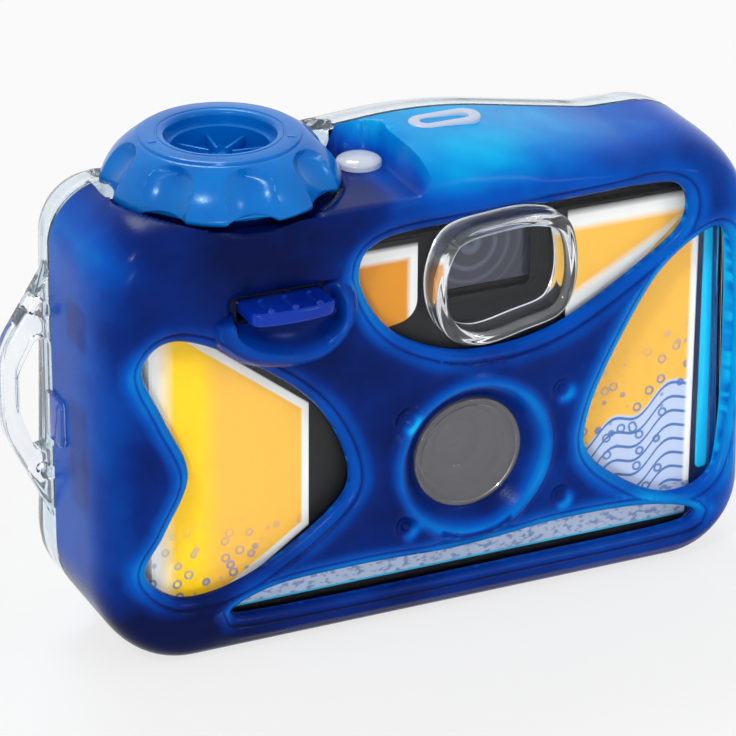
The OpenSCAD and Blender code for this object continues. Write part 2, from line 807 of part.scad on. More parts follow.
module camera_back() {
    color([0.08, 0.08, 0.09]) {
        difference() {
            camera_half(camera_back_y, camera_back_y, 1);
            block([finder_x - 5, finder_x + 5], [camera_back_y - 5, far], [finder_z - 5.5, finder_z + 1.5]);
        }
        rod_z(counter_pivot, camera_top - bite, counter_post_r, bite + 2);
        for (z = [lens_z - gate_h / 2 - 4, lens_z + gate_h / 2 + 2])
            block([lens_x - gate_w / 2 - 4, lens_x + gate_w / 2 + 4],
                [film_y + film_t + 0.3, camera_back_y - camera_wall + bite], [z, z + 2]);
    }
}

// Printed card round the front and right side, open round the lens and the finder
module label_wrap() {
    t = 0.25;
    gap = seat_gap / 3;
    lens_gap = [[lens_x - 30, 15, 6], [lens_x + 22, 15, 6], [lens_x + 26, 40, 8],
        [lens_x + 17, camera_top - 17, 4], [lens_x + 17, camera_top + 4, 1],
        [lens_x - 9, camera_top + 4, 1], [lens_x - 9, camera_top - 17, 4], [lens_x - 30, 54, 8]];
    color([0.97, 0.72, 0.25]) {
        difference() {
            slab(rounded(inset(camera_path, camera_edge + 0.5)), camera_front_y - gap, t);
            slab(rounded(lens_gap), 0, far);
        }
        block([camera_w / 2 + gap, camera_w / 2 + gap + t],
            [camera_front_y + camera_edge_len + 0.5, camera_back_y - camera_edge_len - 0.5],
            [base_room + 5, camera_top - 6]);
    }
}

module camera_frame() {
    gate_back = gate_face_y + 0.1;
    top_bore = shaft_r + 0.5 + pass_gap;
    color([0.12, 0.12, 0.13])
        difference() {
            union() {
                block([wind_x + chamber_r - bite, supply_x - supply_bore_r + bite], [frame_front_y, gate_face_y],
                    [frame_z, frame_top]);
                intersection() {
                    rod_z([wind_x, 0], frame_z, chamber_r + chamber_wall, frame_top - frame_z);
                    block([-far, far], [camera_front_y + camera_wall + seat_gap, gate_face_y], [0, far]);
                }
                intersection() {
                    rod_z([supply_x, 0], frame_z, supply_bore_r + chamber_wall, frame_top - frame_z);
                    block([-far, far], [-far, gate_face_y], [0, far]);
                }
                for (x = [-11.5, 11.5], z = [-9.5, 9.5])
                    rod_y(lens_x + x, frame_front_y + bite, lens_z + z, 1.5, frame_front_y + bite - barrel_y);
                rod_y(blade_pivot.x, frame_front_y + bite, blade_pivot.y, blade_pivot_r,
                    frame_front_y + bite - barrel_y - 0.1);
                rod_z(drive_at, frame_top - bite, drive_post_r, bite + 2);
            }
            rod_z([wind_x, 0], lens_z - cassette_h / 2 - 0.4, chamber_r, cassette_h + 0.8);
            rod_z([wind_x, 0], lens_z, top_bore, far);
            block([lip_x[0] - pass_gap, lip_x[1] + pass_gap], [film_y - lip_t - 0.2 - pass_gap, far],
                [cassette_z - 0.4, cassette_z + cassette_h + 0.4]);
            rod_z([supply_x, 0], film_z - 3, supply_bore_r, film_w + 6);
            rod_z([supply_x, 0], frame_z + 0.4, spool_pin_r + run_gap, frame_top - frame_z - 0.8);
            hull() {
                block([lens_x - 3.5, lens_x + 3.5], [frame_front_y - 0.1, frame_front_y], [lens_z - 3.5, lens_z + 3.5]);
                block([lens_x - gate_w / 2, lens_x + gate_w / 2], [gate_face_y, gate_back],
                    [lens_z - gate_h / 2, lens_z + gate_h / 2]);
            }
            rod_z([sprocket_x, sprocket_y], sprocket_z - 0.4, sprocket_r + tooth_h + pass_gap, sprocket_t + 0.8);
            rod_z([sprocket_x, sprocket_y], sprocket_z - 3, sprocket_shaft_r + run_gap, far);
        }
}

drive_at = [lens_x - 14.5, -6];
drive_post_r = 1.3;
spool_pin_r = 2;
slide_w = 2.2;

module lens_barrel() {
    color([0.1, 0.1, 0.1])
        difference() {
            union() {
                block([lens_x - 13, lens_x + 13], [barrel_y - barrel_t, barrel_y], [lens_z - 11, lens_z + 11]);
                rod_y(lens_x, barrel_y, lens_z, lens_r + barrel_wall, barrel_len);
            }
            rod_y(lens_x, barrel_y + 1, lens_z, 1.8, far);
            rod_y(lens_x, barrel_y - barrel_t, lens_z, lens_r + seat_gap / 3, far);
        }
}

lens_back_y = barrel_y - barrel_t - 0.05;

// Meniscus lens, revolved about the optical axis
module taking_lens() {
    bulge = 0.9;
    hollow = 0.6;
    color([0.75, 0.85, 0.9, 0.5])
        translate([lens_x, lens_back_y, lens_z])
            rotate([90, 0, 0])
                rotate_extrude()
                    polygon([for (k = [0:6]) let (r = lens_r * k / 6) [r, hollow * (1 - k * k / 36)],
                        for (k = [6:-1:0]) let (r = lens_r * k / 6) [r, lens_t - bulge * k * k / 36]]);
}

module lens_retainer() {
    y = barrel_y - barrel_len - seat_gap / 3;
    color([0.25, 0.25, 0.27])
        translate([lens_x, y, lens_z])
            rotate([90, 0, 0])
                rotate_extrude()
                    polygon([[lens_r - 1.6, 0], [lens_r + 1.5, 0], [lens_r + 1.5, 0.9], [lens_r - 0.2, 0.9]]);
}

module shutter_blade() {
    arm = [lens_x, lens_z] - blade_pivot;
    color([0.2, 0.2, 0.2])
        difference() {
            union() {
                rod_y(lens_x, blade_y, lens_z, 3.2, blade_t);
                rod_y(blade_pivot.x, blade_y, blade_pivot.y, 2.2, blade_t);
                translate([blade_pivot.x, blade_y, blade_pivot.y])
                    rotate([0, -atan2(arm.y, arm.x), 0])
                        block([0, norm(arm)], [-blade_t, 0], [-1.2, 1.2]);
            }
            rod_y(blade_pivot.x, far, blade_pivot.y, blade_pivot_r + run_gap, 2 * far);
        }
}

module drive_lever() {
    color([0.85, 0.85, 0.8])
        translate([drive_at.x, drive_at.y, frame_top + pass_gap])
            difference() {
                linear_extrude(1.2) {
                    circle(r = 2.6);
                    polygon([[-0.5, -2.5], [14, -2.6], [14.6, -1], [13.5, 0.2], [1, 2.3]]);
                }
                rod_z([0, 0], -1, drive_post_r + run_gap, 4);
            }
}

module release_slide() {
    x = lever_x + lever_w / 2 - 1;
    y = tail_y + pass_gap;
    color([0.8, 0.1, 0.1])
        block([x - slide_w / 2, x + slide_w / 2], [y, y + 6.5], [deck_z + 0.3, deck_z + 2.3]);
}

module thumbwheel() {
    hub_r = shaft_r + 0.5;
    hub_low = lens_z + cassette_h / 2 + 2.2;
    teeth = 30;
    color([0.15, 0.15, 0.16])
        difference() {
            union() {
                rod_z([wind_x, 0], thumb_z, thumb_r, thumb_t);
                rod_z([wind_x, 0], hub_low, hub_r, thumb_z - hub_low + bite);
                block([wind_x - fork_w / 2, wind_x + fork_w / 2], [-0.5, 0.5],
                    [spool_top - fork_depth + pass_gap, hub_low + bite]);
            }
            for (i = [0:teeth - 1])
                rod_z([wind_x + thumb_r * cos(i * 360 / teeth), thumb_r * sin(i * 360 / teeth)],
                    thumb_z - 1, 0.5, thumb_t + 2);
            rod_z([wind_x, 0], shaft_low - 0.1, shaft_r + seat_gap / 3, far);
        }
}

module counter_disc() {
    r = 8;
    ticks = 28;
    color("white")
        translate([counter_pivot.x, counter_pivot.y, camera_top + pass_gap])
            difference() {
                cylinder(r = r, h = 1);
                for (i = [0:ticks - 1])
                    rotate([0, 0, i * 360 / ticks])
                        block([r - 0.6, r + 1], [-0.25, 0.25], [-1, 2]);
                rod_z([0, 0], -1, counter_post_r + run_gap, 4);
            }
}

// Sprocket with its shaft and the cam that trips the shutter
module film_sprocket() {
    at = [sprocket_x, sprocket_y];
    shaft_z = sprocket_z - 2.8;
    color([0.9, 0.9, 0.85]) {
        rod_z(at, sprocket_z, sprocket_r, sprocket_t);
        rod_z(at, shaft_z, sprocket_shaft_r, frame_top + 2.2 - shaft_z);
        translate([at.x, at.y, frame_top + pass_gap])
            linear_extrude(1.4) {
                circle(r = 3.2);
                polygon([[0, -3.2], [4.2, -2.4], [4.2, 0], [2.4, 2]]);
            }
        for (i = [0:sprocket_teeth - 1])
            rotate_about(at, i * 360 / sprocket_teeth)
                translate([at.x, at.y, sprocket_z + 0.3])
                    linear_extrude(sprocket_t - 0.6)
                        polygon([[sprocket_r - bite, -0.7], [sprocket_r + tooth_h, -0.35],
                            [sprocket_r + tooth_h, 0.35], [sprocket_r - bite, 0.7]]);
    }
}

module rotate_about(at, a) {
    translate([at.x, at.y, 0])
        rotate([0, 0, a])
            translate([-at.x, -at.y, 0])
                children();
}

cap_t = 0.8;
cassette_z = lens_z - cassette_h / 2;
can_t = 0.4;
spool_hub_r = 5.5;
spool_top = cassette_z + cassette_h + 0.2;
fork_w = 4;
fork_depth = 2;
lip_t = 0.5;
lip_x = [wind_x + cassette_r / 2 + 0.6, wind_x + chamber_r + 0.6];

// Sheet-metal can with the two lips that the film leaves between
module cassette_shell() {
    body_z = cassette_z + cap_t + 0.05;
    body_h = cassette_h - 2 * cap_t - 0.1;
    color([0.3, 0.3, 0.32])
        difference() {
            union() {
                rod_z([wind_x, 0], body_z, cassette_r, body_h);
                block(lip_x, [film_y - lip_t - 0.2, film_y + film_t + lip_t + 0.2], [body_z, body_z + body_h]);
            }
            rod_z([wind_x, 0], 0, cassette_r - can_t, far * 2);
            block([wind_x, wind_x + far], [film_y - 0.2, film_y + film_t + 0.2], [0, far * 2]);
        }
}

module cassette_caps() {
    color([0.2, 0.2, 0.2])
        for (z = [cassette_z, cassette_z + cassette_h - cap_t])
            difference() {
                rod_z([wind_x, 0], z, cassette_r, cap_t);
                rod_z([wind_x, 0], z - 1, spool_hub_r + pass_gap, cap_t + 2);
            }
}

// Spool with the film that is already wound on it
module cassette_spool() {
    low = cassette_z - 0.1;
    color([0.15, 0.15, 0.15])
        difference() {
            union() {
                rod_z([wind_x, 0], low, spool_hub_r, spool_top - low);
                rod_z([wind_x, 0], film_z, spool_hub_r + 2.5, film_w);
            }
            block([wind_x - fork_w / 2 - 0.2, wind_x + fork_w / 2 + 0.2], [-0.7, 0.7], [spool_top - fork_depth, far * 2]);
        }
}

module supply_spool() {
    color([0.2, 0.2, 0.2]) {
        rod_z([supply_x, 0], film_z - 2.5, 5, film_w + 5);
        rod_z([supply_x, 0], frame_z + 0.6, spool_pin_r, frame_top - frame_z - 1.2);
    }
}

module film_roll() {
    color([0.4, 0.3, 0.25])
        difference() {
            rod_z([supply_x, 0], film_z, roll_r, film_w);
            rod_z([supply_x, 0], film_z - 1, 5 + seat_gap / 3, film_w + 2);
        }
}

// Film from the roll to the cassette, with its two rows of perforations
module film_strip() {
    pitch = 4.75;
    x0 = wind_x + 9;
    length = supply_x - x0;
    color([0.35, 0.25, 0.2])
        translate([x0, film_y + film_t, film_z])
            rotate([90, 0, 0])
                linear_extrude(film_t)
                    difference() {
                        square([length, film_w]);
                        for (i = [0:floor(length / pitch) - 1], z = [2, film_w - 4.8])
                            translate([1 + i * pitch, z])
                                square([2, 2.8]);
                    }
}

module finder_front_lens() {
    w = finder_w - 2 * seat_gap;
    h = finder_h - 2 * seat_gap;
    curve_r = 29;
    sag = 0.6;
    color([0.8, 0.85, 0.9, 0.5])
        difference() {
            block([finder_x - w / 2, finder_x + w / 2], [camera_front_y + 0.1, camera_front_y + camera_wall - 0.1],
                [finder_z - h / 2, finder_z + h / 2]);
            translate([finder_x, camera_front_y + camera_wall + curve_r - sag, finder_z])
                sphere(r = curve_r);
        }
}

module finder_rear_lens() {
    w = 10 - 2 * seat_gap;
    h = 7 - 2 * seat_gap;
    color([0.8, 0.85, 0.9, 0.5])
        block([finder_x - w / 2, finder_x + w / 2], [camera_back_y - camera_wall + 0.1, camera_back_y - 0.1],
            [finder_z - 2 - h / 2, finder_z - 2 + h / 2]);
}

front_cover();
window_shell();
rear_shell();
housing_seal();
wind_knob();
knob_shaft();
knob_seal();
counter_lens();
shutter_lever();
lever_pin();
lever_seal();
lever_spring();
camera_frame();
camera_front();
camera_back();
label_wrap();
taking_lens();
lens_retainer();
lens_barrel();
shutter_blade();
drive_lever();
release_slide();
thumbwheel();
counter_disc();
film_sprocket();
cassette_shell();
cassette_caps();
cassette_spool();
supply_spool();
film_roll();
film_strip();
finder_front_lens();
finder_rear_lens();
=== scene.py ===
"""Looks of a waterproof single-use camera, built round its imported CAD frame.

Lengths are millimetres until a mesh is made. The front faces -Y and +Z is up.
"""

import logging
import math
from dataclasses import dataclass, field
from enum import Enum

import bmesh
import bpy
import numpy as np
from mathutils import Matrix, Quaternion, Vector
from mathutils.geometry import delaunay_2d_cdt


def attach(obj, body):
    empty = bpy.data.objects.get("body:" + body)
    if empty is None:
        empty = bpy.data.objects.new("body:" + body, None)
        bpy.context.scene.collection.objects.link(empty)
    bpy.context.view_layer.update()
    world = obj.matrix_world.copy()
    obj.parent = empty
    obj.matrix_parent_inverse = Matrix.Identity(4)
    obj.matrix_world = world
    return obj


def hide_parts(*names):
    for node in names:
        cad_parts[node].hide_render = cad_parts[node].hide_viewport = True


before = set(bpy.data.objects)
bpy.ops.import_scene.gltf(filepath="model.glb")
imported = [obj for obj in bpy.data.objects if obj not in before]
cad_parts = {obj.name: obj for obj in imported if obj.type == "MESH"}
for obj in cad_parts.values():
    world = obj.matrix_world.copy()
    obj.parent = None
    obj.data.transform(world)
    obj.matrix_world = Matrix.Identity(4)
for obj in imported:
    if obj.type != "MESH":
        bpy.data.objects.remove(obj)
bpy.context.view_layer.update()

MM = 0.001
log = logging.getLogger("camera_looks")

Array = np.ndarray
Colour = tuple[float, float, float, float]
Pair = tuple[float, float]
Triple = tuple[float, float, float]
Socket = bpy.types.NodeSocket
Material = bpy.types.Material
Node = bpy.types.Node
Object = bpy.types.Object
Scene = bpy.types.Scene
SLIVER = 1e-7


def paint(red: int, green: int, blue: int) -> Colour:
    """Turns a display colour of 0 to 255 into linear light.

    Args:
        red, green, blue: the display colour.

    Returns:
        The colour as the shader reads it.
    """
    level = np.array([red, green, blue]) / 255
    linear = np.where(level > 0.04045, ((level + 0.055) / 1.055) ** 2.4, level / 12.92)
    return (*linear.tolist(), 1.0)


class Facing(Enum):
    """Plane that a flat piece is drawn in: its two drawing axes and the axis of its depth."""

    FRONT = (0, 2, 1)
    TOP = (0, 1, 2)
    SIDE = (1, 2, 0)

    def place(self, flat: Array, depth: Array | float) -> Array:
        """Puts drawn points into space.

        Args:
            flat: drawn points, two numbers each.
            depth: place along the depth axis.

        Returns:
            The points with three numbers each.
        """
        out = np.empty((*flat.shape[:-1], 3))
        out[..., self.value[0]] = flat[..., 0]
        out[..., self.value[1]] = flat[..., 1]
        out[..., self.value[2]] = depth
        return out


def unit(vectors: Array) -> Array:
    """Vectors of length 1 along the given ones."""
    return vectors / np.linalg.norm(vectors, axis=1, keepdims=True)


def spokes(angle: Array) -> Array:
    """Points of the unit circle at angles in radians."""
    return np.stack([np.cos(angle), np.sin(angle)], axis=-1)


def smooth_loop(corners: list[Pair], steps: int = 24) -> Array:
    """Closed curve through the corners: between two, the cubic whose end slopes follow their neighbours.

    Args:
        corners: points that the curve passes through, counter-clockwise.
        steps: points for each corner.

    Returns:
        The curve's points.
    """
    b = np.array(corners, float)
    a, c, d = np.roll(b, 1, 0), np.roll(b, -1, 0), np.roll(b, -2, 0)
    t = (np.arange(steps) / steps)[None, :, None]
    a, b, c, d = (k[:, None] for k in (a, b, c, d))
    curve = (2 * b + (c - a) * t + (2 * a - 5 * b + 4 * c - d) * t**2 + (3 * b - a - 3 * c + d) * t**3) / 2
    return curve.reshape(-1, 2)


def even_loop(loop: Array, spacing: float) -> Array:
    """The same closed curve with points at even steps along its length.

    Args:
        loop: points of a closed curve.
        spacing: length of a step.

    Returns:
        The new points.
    """
    closed = np.vstack([loop, loop[:1]])
    run = np.concatenate([[0], np.cumsum(np.linalg.norm(np.diff(closed, axis=0), axis=1))])
    at = np.linspace(0, run[-1], max(8, round(run[-1] / spacing)), endpoint=False)
    return np.stack([np.interp(at, run, closed[:, k]) for k in (0, 1)], axis=1)


def grow(loop: Array, by: float) -> Array:
    """Moves a counter-clockwise loop outwards along its normals.

    Args:
        loop: points of a closed curve.
        by: distance, inwards if negative.

    Returns:
        The moved points.
    """
    along = unit(np.roll(loop, -1, 0) - np.roll(loop, 1, 0))
    return loop + by * np.stack([along[:, 1], -along[:, 0]], axis=1)


def fillet_loop(corners: list[Triple], arc: int = 12, edge: int = 1) -> Array:
    """Polygon whose corners are arcs: each arc touches both sides, and each side is divided evenly.

    Args:
        corners: corner points with their radii, counter-clockwise.
        arc: steps in each arc.
        edge: steps in each straight side.

    Returns:
        The outline's points, the same number for each corner.
    """
    b = np.array(corners, float)[:, :2]
    radius = np.array(corners, float)[:, 2:]
    u, w = unit(np.roll(b, 1, 0) - b), unit(np.roll(b, -1, 0) - b)
    half = np.arccos(np.clip((u * w).sum(1, keepdims=True), -1, 1)) / 2
    centre = b + unit(u + w) * radius / np.sin(half)
    start = b + u * radius / np.tan(half) - centre
    turn = np.sign(-u[:, 0] * w[:, 1] + u[:, 1] * w[:, 0])[:, None] * (np.pi - 2 * half)
    angle = np.arctan2(start[:, 1], start[:, 0])[:, None] + turn * np.linspace(0, 1, arc + 1)[None]
    arcs = centre[:, None] + radius[:, None] * spokes(angle)
    part = (np.arange(1, edge) / edge)[None, :, None]
    sides = arcs[:, -1:] * (1 - part) + np.roll(arcs, -1, 0)[:, :1] * part
    return np.concatenate([arcs, sides], axis=1).reshape(-1, 2)


def rounded(corners: list[Triple], spacing: float, arc: int = 12) -> Array:
    """Polygon whose corners are arcs, with points at even steps."""
    return even_loop(fillet_loop(corners, arc), spacing)


def rect(x: Pair, y: Pair, radius: float) -> list[Triple]:
    """Corners of a rounded rectangle, counter-clockwise."""
    return [(x[0], y[0], radius), (x[1], y[0], radius), (x[1], y[1], radius), (x[0], y[1], radius)]


def circle(at: Pair, radius: float, count: int = 96) -> Array:
    """Even points of a circle about a centre, counter-clockwise."""
    return np.array(at) + radius * spokes(np.arange(count) * 2 * np.pi / count)


def nearest(points: Array, loop: Array) -> tuple[Array, Array]:
    """Signed distance to a closed loop, negative inside, and the vector from the nearest point of the loop.

    Args:
        points: points in the loop's plane.
        loop: the loop's points.

    Returns:
        Distances, and vectors.
    """
    end = np.roll(loop, -1, 0)
    side = end - loop
    length = (side**2).sum(1)
    gaps, signs = [], []
    for part in np.array_split(points, max(1, len(points) // 3000)):
        reach = part[:, None] - loop[None]
        share = np.clip((reach * side).sum(-1) / length, 0, 1)
        gap = reach - share[..., None] * side
        gaps.append(gap[np.arange(len(part)), (gap**2).sum(-1).argmin(1)])
        spans = (loop[None, :, 1] > part[:, None, 1]) != (end[None, :, 1] > part[:, None, 1])
        rise = np.where(side[:, 1] == 0, 1e-12, side[:, 1])
        cross = loop[None, :, 0] + side[None, :, 0] * (part[:, None, 1] - loop[None, :, 1]) / rise
        inside = (spans & (part[:, None, 0] < cross)).sum(1) % 2 == 1
        signs.append(np.where(inside, -1.0, 1.0))
    gap, sign = np.concatenate(gaps), np.concatenate(signs)
    return sign * np.linalg.norm(gap, axis=1), gap


def distance(points: Array, loop: Array) -> Array:
    """Signed distance to a closed loop, negative inside."""
    return nearest(points, loop)[0]


def clearance(points: Array, loops: list[Array]) -> Array:
    """Signed distance to the nearest of several closed loops."""
    return np.min([distance(points, k) for k in loops], axis=0)


def ledge(gap: Array, width: float, drop: float) -> Array:
    """Fall to an edge as a quarter ellipse: drop (1 - sqrt(1 - t^2)), with t from 0 to 1 over the width.

    Args:
        gap: distance from the edge.
        width: distance where the fall starts.
        drop: the fall at the edge.

    Returns:
        How far each point falls.
    """
    t = np.clip((width - gap) / width, 0, 1)
    return drop * (1 - np.sqrt(np.maximum(1 - t**2, 0)))


def bell(term: Triple, value: Array) -> Array:
    """Bell curve k exp(-((value - m) / w)^2), for a term of strength k, middle m and half width w."""
    return term[0] * np.exp(-(((value - term[1]) / term[2]) ** 2))


def ease(low: float, high: float, value: Array) -> Array:
    """Smooth step from 0 at low to 1 at high: 3 t^2 - 2 t^3."""
    t = np.clip((value - low) / (high - low), 0, 1)
    return t * t * (3 - 2 * t)


def step(term: Triple, value: Array) -> Array:
    """Smooth step of a strength, for a term of strength, start and full place."""
    return term[0] * ease(term[1], term[2], value)


def grid_faces(rows: int, columns: int, closed: bool) -> Array:
    """Four-cornered faces of a grid of points, row by row.

    Args:
        rows: number of rows.
        columns: points in a row.
        closed: whether each row joins up.

    Returns:
        Point numbers of each face.
    """
    r = np.arange(rows - 1)[:, None] * columns
    c = np.arange(columns if closed else columns - 1)[None]
    n = (c + 1) % columns
    return np.stack([r + c, r + n, r + columns + n, r + columns + c], axis=-1).reshape(-1, 4)


def fill_loops(loops: list[Array], extra: Array | None = None) -> tuple[Array, Array]:
    """Triangles inside the outermost loop and outside the others, with extra points between.

    A triangle on a loop's straight stretch is a sliver with its middle on the loop, and it is kept.

    Args:
        loops: closed loops that become edges, the outermost first.
        extra: further points.

    Returns:
        All points, and the triangles.
    """
    first = np.cumsum([0] + [len(k) for k in loops])
    number = [s + np.arange(len(k)) for k, s in zip(loops, first)]
    edges = np.concatenate([np.stack([k, np.roll(k, -1)], axis=1) for k in number])
    points = np.concatenate(loops + ([extra] if extra is not None else []))
    made = delaunay_2d_cdt(points.tolist(), edges.tolist(), [], 1, 1e-5)
    flat, tris = np.array([tuple(v) for v in made[0]]), np.array(made[2])
    if len(loops) > 1:
        tris = tris[clearance(flat[tris].mean(1), loops[1:]) > -SLIVER]
    return flat, tris


class Graph:
    """Node graph of one material round its Principled shader."""

    def __init__(self, name: str) -> None:
        """Starts a material that holds one Principled shader.

        Args:
            name: the material's name.
        """
        self.material = bpy.data.materials.new(name)
        self.material.use_nodes = True
        self.tree = self.material.node_tree
        self.shader = self.tree.nodes["Principled BSDF"]
        self.place = self.node("TexCoord").outputs["Object"]

    def node(self, kind: str, inputs: dict | None = None, **options: object) -> Node:
        """Adds a shader node.

        Args:
            kind: the node's type without its prefix.
            inputs: values or sockets by the input's name or number.
            options: properties to set on it first.

        Returns:
            The node.
        """
        made = self.tree.nodes.new("ShaderNode" + kind)
        for key, value in options.items():
            setattr(made, key, value)
        self.feed(made, inputs or {})
        return made

    def feed(self, node: Node, inputs: dict) -> None:
        """Links each input of a node whose value is a socket, and sets the others.

        Args:
            node: the node.
            inputs: values or sockets by the input's name or number.
        """
        for key, value in inputs.items():
            if isinstance(value, Socket):
                self.tree.links.new(value, node.inputs[key])
            else:
                node.inputs[key].default_value = value

    def plain(self, **values: object) -> None:
        """Sets or links inputs of the Principled shader, named with underscores for spaces."""
        self.feed(self.shader, {key.replace("_", " "): value for key, value in values.items()})

    def noise(self, size: float, detail: float = 2.0, stretch: Triple = (1, 1, 1)) -> Socket:
        """Soft random pattern.

        Args:
            size: width of its spots in millimetres.
            detail: finer layers.
            stretch: how much denser it is along each axis.

        Returns:
            Its value from 0 to 1.
        """
        turned = self.node("Mapping", {"Scale": stretch, "Vector": self.place}).outputs["Vector"]
        made = self.node("TexNoise", {"Scale": 1 / (size * MM), "Detail": detail, "Vector": turned})
        return made.outputs["Fac"]

    def ramp(self, value: Socket, stops: tuple[tuple[float, Colour], ...]) -> Socket:
        """Colour that runs through the stops.

        Args:
            value: place along the ramp from 0 to 1.
            stops: places and their colours.

        Returns:
            The colour.
        """
        made = self.node("ValToRGB", {"Fac": value})
        line = made.color_ramp
        line.elements[0].position, line.elements[0].color = stops[0]
        line.elements[1].position, line.elements[1].color = stops[-1]
        for at, colour in stops[1:-1]:
            line.elements.new(at).color = colour
        return made.outputs["Color"]

    def scaled(self, value: Socket, low: float, high: float, to_low: float, to_high: float) -> Socket:
        """Maps the value from low..high to to_low..to_high, held at both ends."""
        ends = {"From Min": low, "From Max": high, "To Min": to_low, "To Max": to_high}
        return self.node("MapRange", {"Value": value, **ends}).outputs["Result"]

    def above(self, value: Socket, at: float, soft: float = 0.05) -> Socket:
        """Share that goes from 0 to 1 as the value passes a number, or from 1 to 0 if soft is negative."""
        ends = (0.0, 1.0) if soft > 0 else (1.0, 0.0)
        return self.scaled(value, at - abs(soft), at + abs(soft), *ends)

    def blend(self, share: object, first: object, second: object) -> Socket:
        """Mixes two colours by the share of the second."""
        return self.node("Mix", {"Factor": share, 6: first, 7: second}, data_type="RGBA").outputs[2]

    def sums(self, operation: str, first: object, second: object = 0.0) -> Socket:
        """Arithmetic on one or two values."""
        return self.node("Math", {0: first, 1: second}, operation=operation).outputs[0]

    def times(self, first: object, second: object) -> Socket:
        """Product of two values."""
        return self.sums("MULTIPLY", first, second)

    def plus(self, first: object, second: object) -> Socket:
        """Sum of two values."""
        return self.sums("ADD", first, second)

    def most(self, first: object, second: object) -> Socket:
        """Larger of two values."""
        return self.sums("MAXIMUM", first, second)

    def slope(self, x: Socket, z: Socket, line: Triple) -> Socket:
        """Value a x + b z + c, which is 0 on a straight line."""
        return self.plus(self.plus(self.times(x, line[0]), self.times(z, line[1])), line[2])

    def axes(self) -> list[Socket]:
        """The place on the object along X, Y and Z, in millimetres."""
        return [self.times(k, 1 / MM) for k in self.node("SeparateXYZ", {0: self.place}).outputs]

    def mark(self, name: str) -> Socket:
        """Value of a named attribute of the mesh."""
        return self.node("Attribute", attribute_name=name).outputs["Fac"]

    def bump(self, height: Socket, depth: float, strength: float) -> None:
        """Raises the surface by a pattern whose full height is depth millimetres."""
        made = self.node("Bump", {"Strength": strength, "Distance": depth * MM, "Height": height})
        self.plain(Normal=made.outputs["Normal"])

    def mix_out(self, share: Socket, second: Node) -> None:
        """Shows a mix of the Principled shader and a second one, by the share of the second."""
        mixed = self.node("MixShader", {0: share, 1: self.shader.outputs[0], 2: second.outputs[0]})
        self.feed(self.tree.nodes["Material Output"], {"Surface": mixed.outputs[0]})

    def let_lamps_through(self, tint: Colour) -> None:
        """Lets light from the lamps pass the surface, tinted, while the eye sees glass."""
        lamp = self.node("LightPath").outputs["Is Shadow Ray"]
        self.mix_out(lamp, self.node("BsdfTransparent", {"Color": tint}))


@dataclass(frozen=True)
class Finish:
    """A surface finish: its name and the record's material slot."""

    name: str
    slot: str

    def material(self) -> Material:
        """The finish's material, made once."""
        found = bpy.data.materials.get(self.name)
        return found if found else self.make(Graph(self.name))

    def make(self, graph: Graph) -> Material:
        """Fills the node graph.

        Args:
            graph: a new graph.

        Returns:
            Its material.
        """
        raise NotImplementedError


@dataclass(frozen=True)
class FrostedBlue(Finish):
    """Frosted translucent blue whose colour follows painted light and shade: dark over the black inside, bright
    where light would get behind it.
    """

    # Colours of the plastic from painted shade (0) to painted light (1).
    stops: tuple[tuple[float, Colour], ...] = (
        (0.0, paint(2, 16, 72)),
        (0.22, paint(4, 42, 130)),
        (0.5, paint(0, 86, 196)),
        (0.75, paint(0, 138, 226)),
        (1.0, paint(8, 196, 250)),
    )

    def make(self, graph: Graph) -> Material:
        """Colour from the mesh's painted light and shade, with a soft random cloud of tone and a fine frosted
        grain.

        Args:
            graph: a new graph.

        Returns:
            Its material.
        """
        cloud = graph.scaled(graph.noise(12, 3), 0.3, 0.7, -0.08, 0.08)
        # Painted light and shade stored on the mesh, plus a random cloud of tone, picks the colour.
        painted_light = graph.plus(graph.mark("painted_light"), cloud)
        grain = graph.noise(0.4, 3)
        graph.plain(
            Base_Color=graph.ramp(painted_light, self.stops),
            Roughness=graph.scaled(grain, 0.3, 0.7, 0.14, 0.28),
            Specular_IOR_Level=0.08,
            Specular_Tint=(0.8, 0.9, 1.0, 1.0),
        )
        graph.bump(grain, 0.05, 0.6)
        return graph.material


@dataclass(frozen=True)
class ClearPlastic(Finish):
    """Clear moulded plastic with faint flow lines."""

    tint: Colour = (0.93, 0.96, 0.99, 1.0)
    rough: float = 0.03
    bend: float = 1.46
    through: float = 1.0

    def make(self, graph: Graph) -> Material:
        """Glass that lets the lamps through.

        Args:
            graph: a new graph.

        Returns:
            Its material.
        """
        flow = graph.noise(14, 2, (1, 1, 0.4))
        graph.plain(
            Base_Color=self.tint,
            Roughness=graph.scaled(flow, 0.3, 0.7, self.rough, self.rough + 0.03),
            IOR=self.bend,
            Transmission_Weight=self.through,
        )
        graph.bump(flow, 0.06, 0.25)
        graph.let_lamps_through(self.tint)
        return graph.material


@dataclass(frozen=True)
class MouldedPlastic(Finish):
    """Solid moulded plastic with a fine texture and slight shifts of colour."""

    deep: Colour = (0.02, 0.02, 0.02, 1.0)
    pale: Colour = (0.04, 0.04, 0.04, 1.0)
    rough: float = 0.4
    grain: float = 0.4
    depth: float = 0.02
    shine: float = 0.5
    metal: float = 0.0
    tint: Colour = (1.0, 1.0, 1.0, 1.0)

    def make(self, graph: Graph) -> Material:
        """Two tones by slow noise, and grain in roughness and relief.

        Args:
            graph: a new graph.

        Returns:
            Its material.
        """
        grain = graph.noise(self.grain, 3)
        graph.plain(
            Base_Color=graph.ramp(graph.noise(11, 3), ((0.3, self.deep), (0.7, self.pale))),
            Roughness=graph.scaled(grain, 0.3, 0.7, self.rough - 0.06, self.rough + 0.06),
            Metallic=self.metal,
            Specular_IOR_Level=self.shine,
            Specular_Tint=self.tint,
        )
        graph.bump(grain, self.depth, 0.6)
        return graph.material


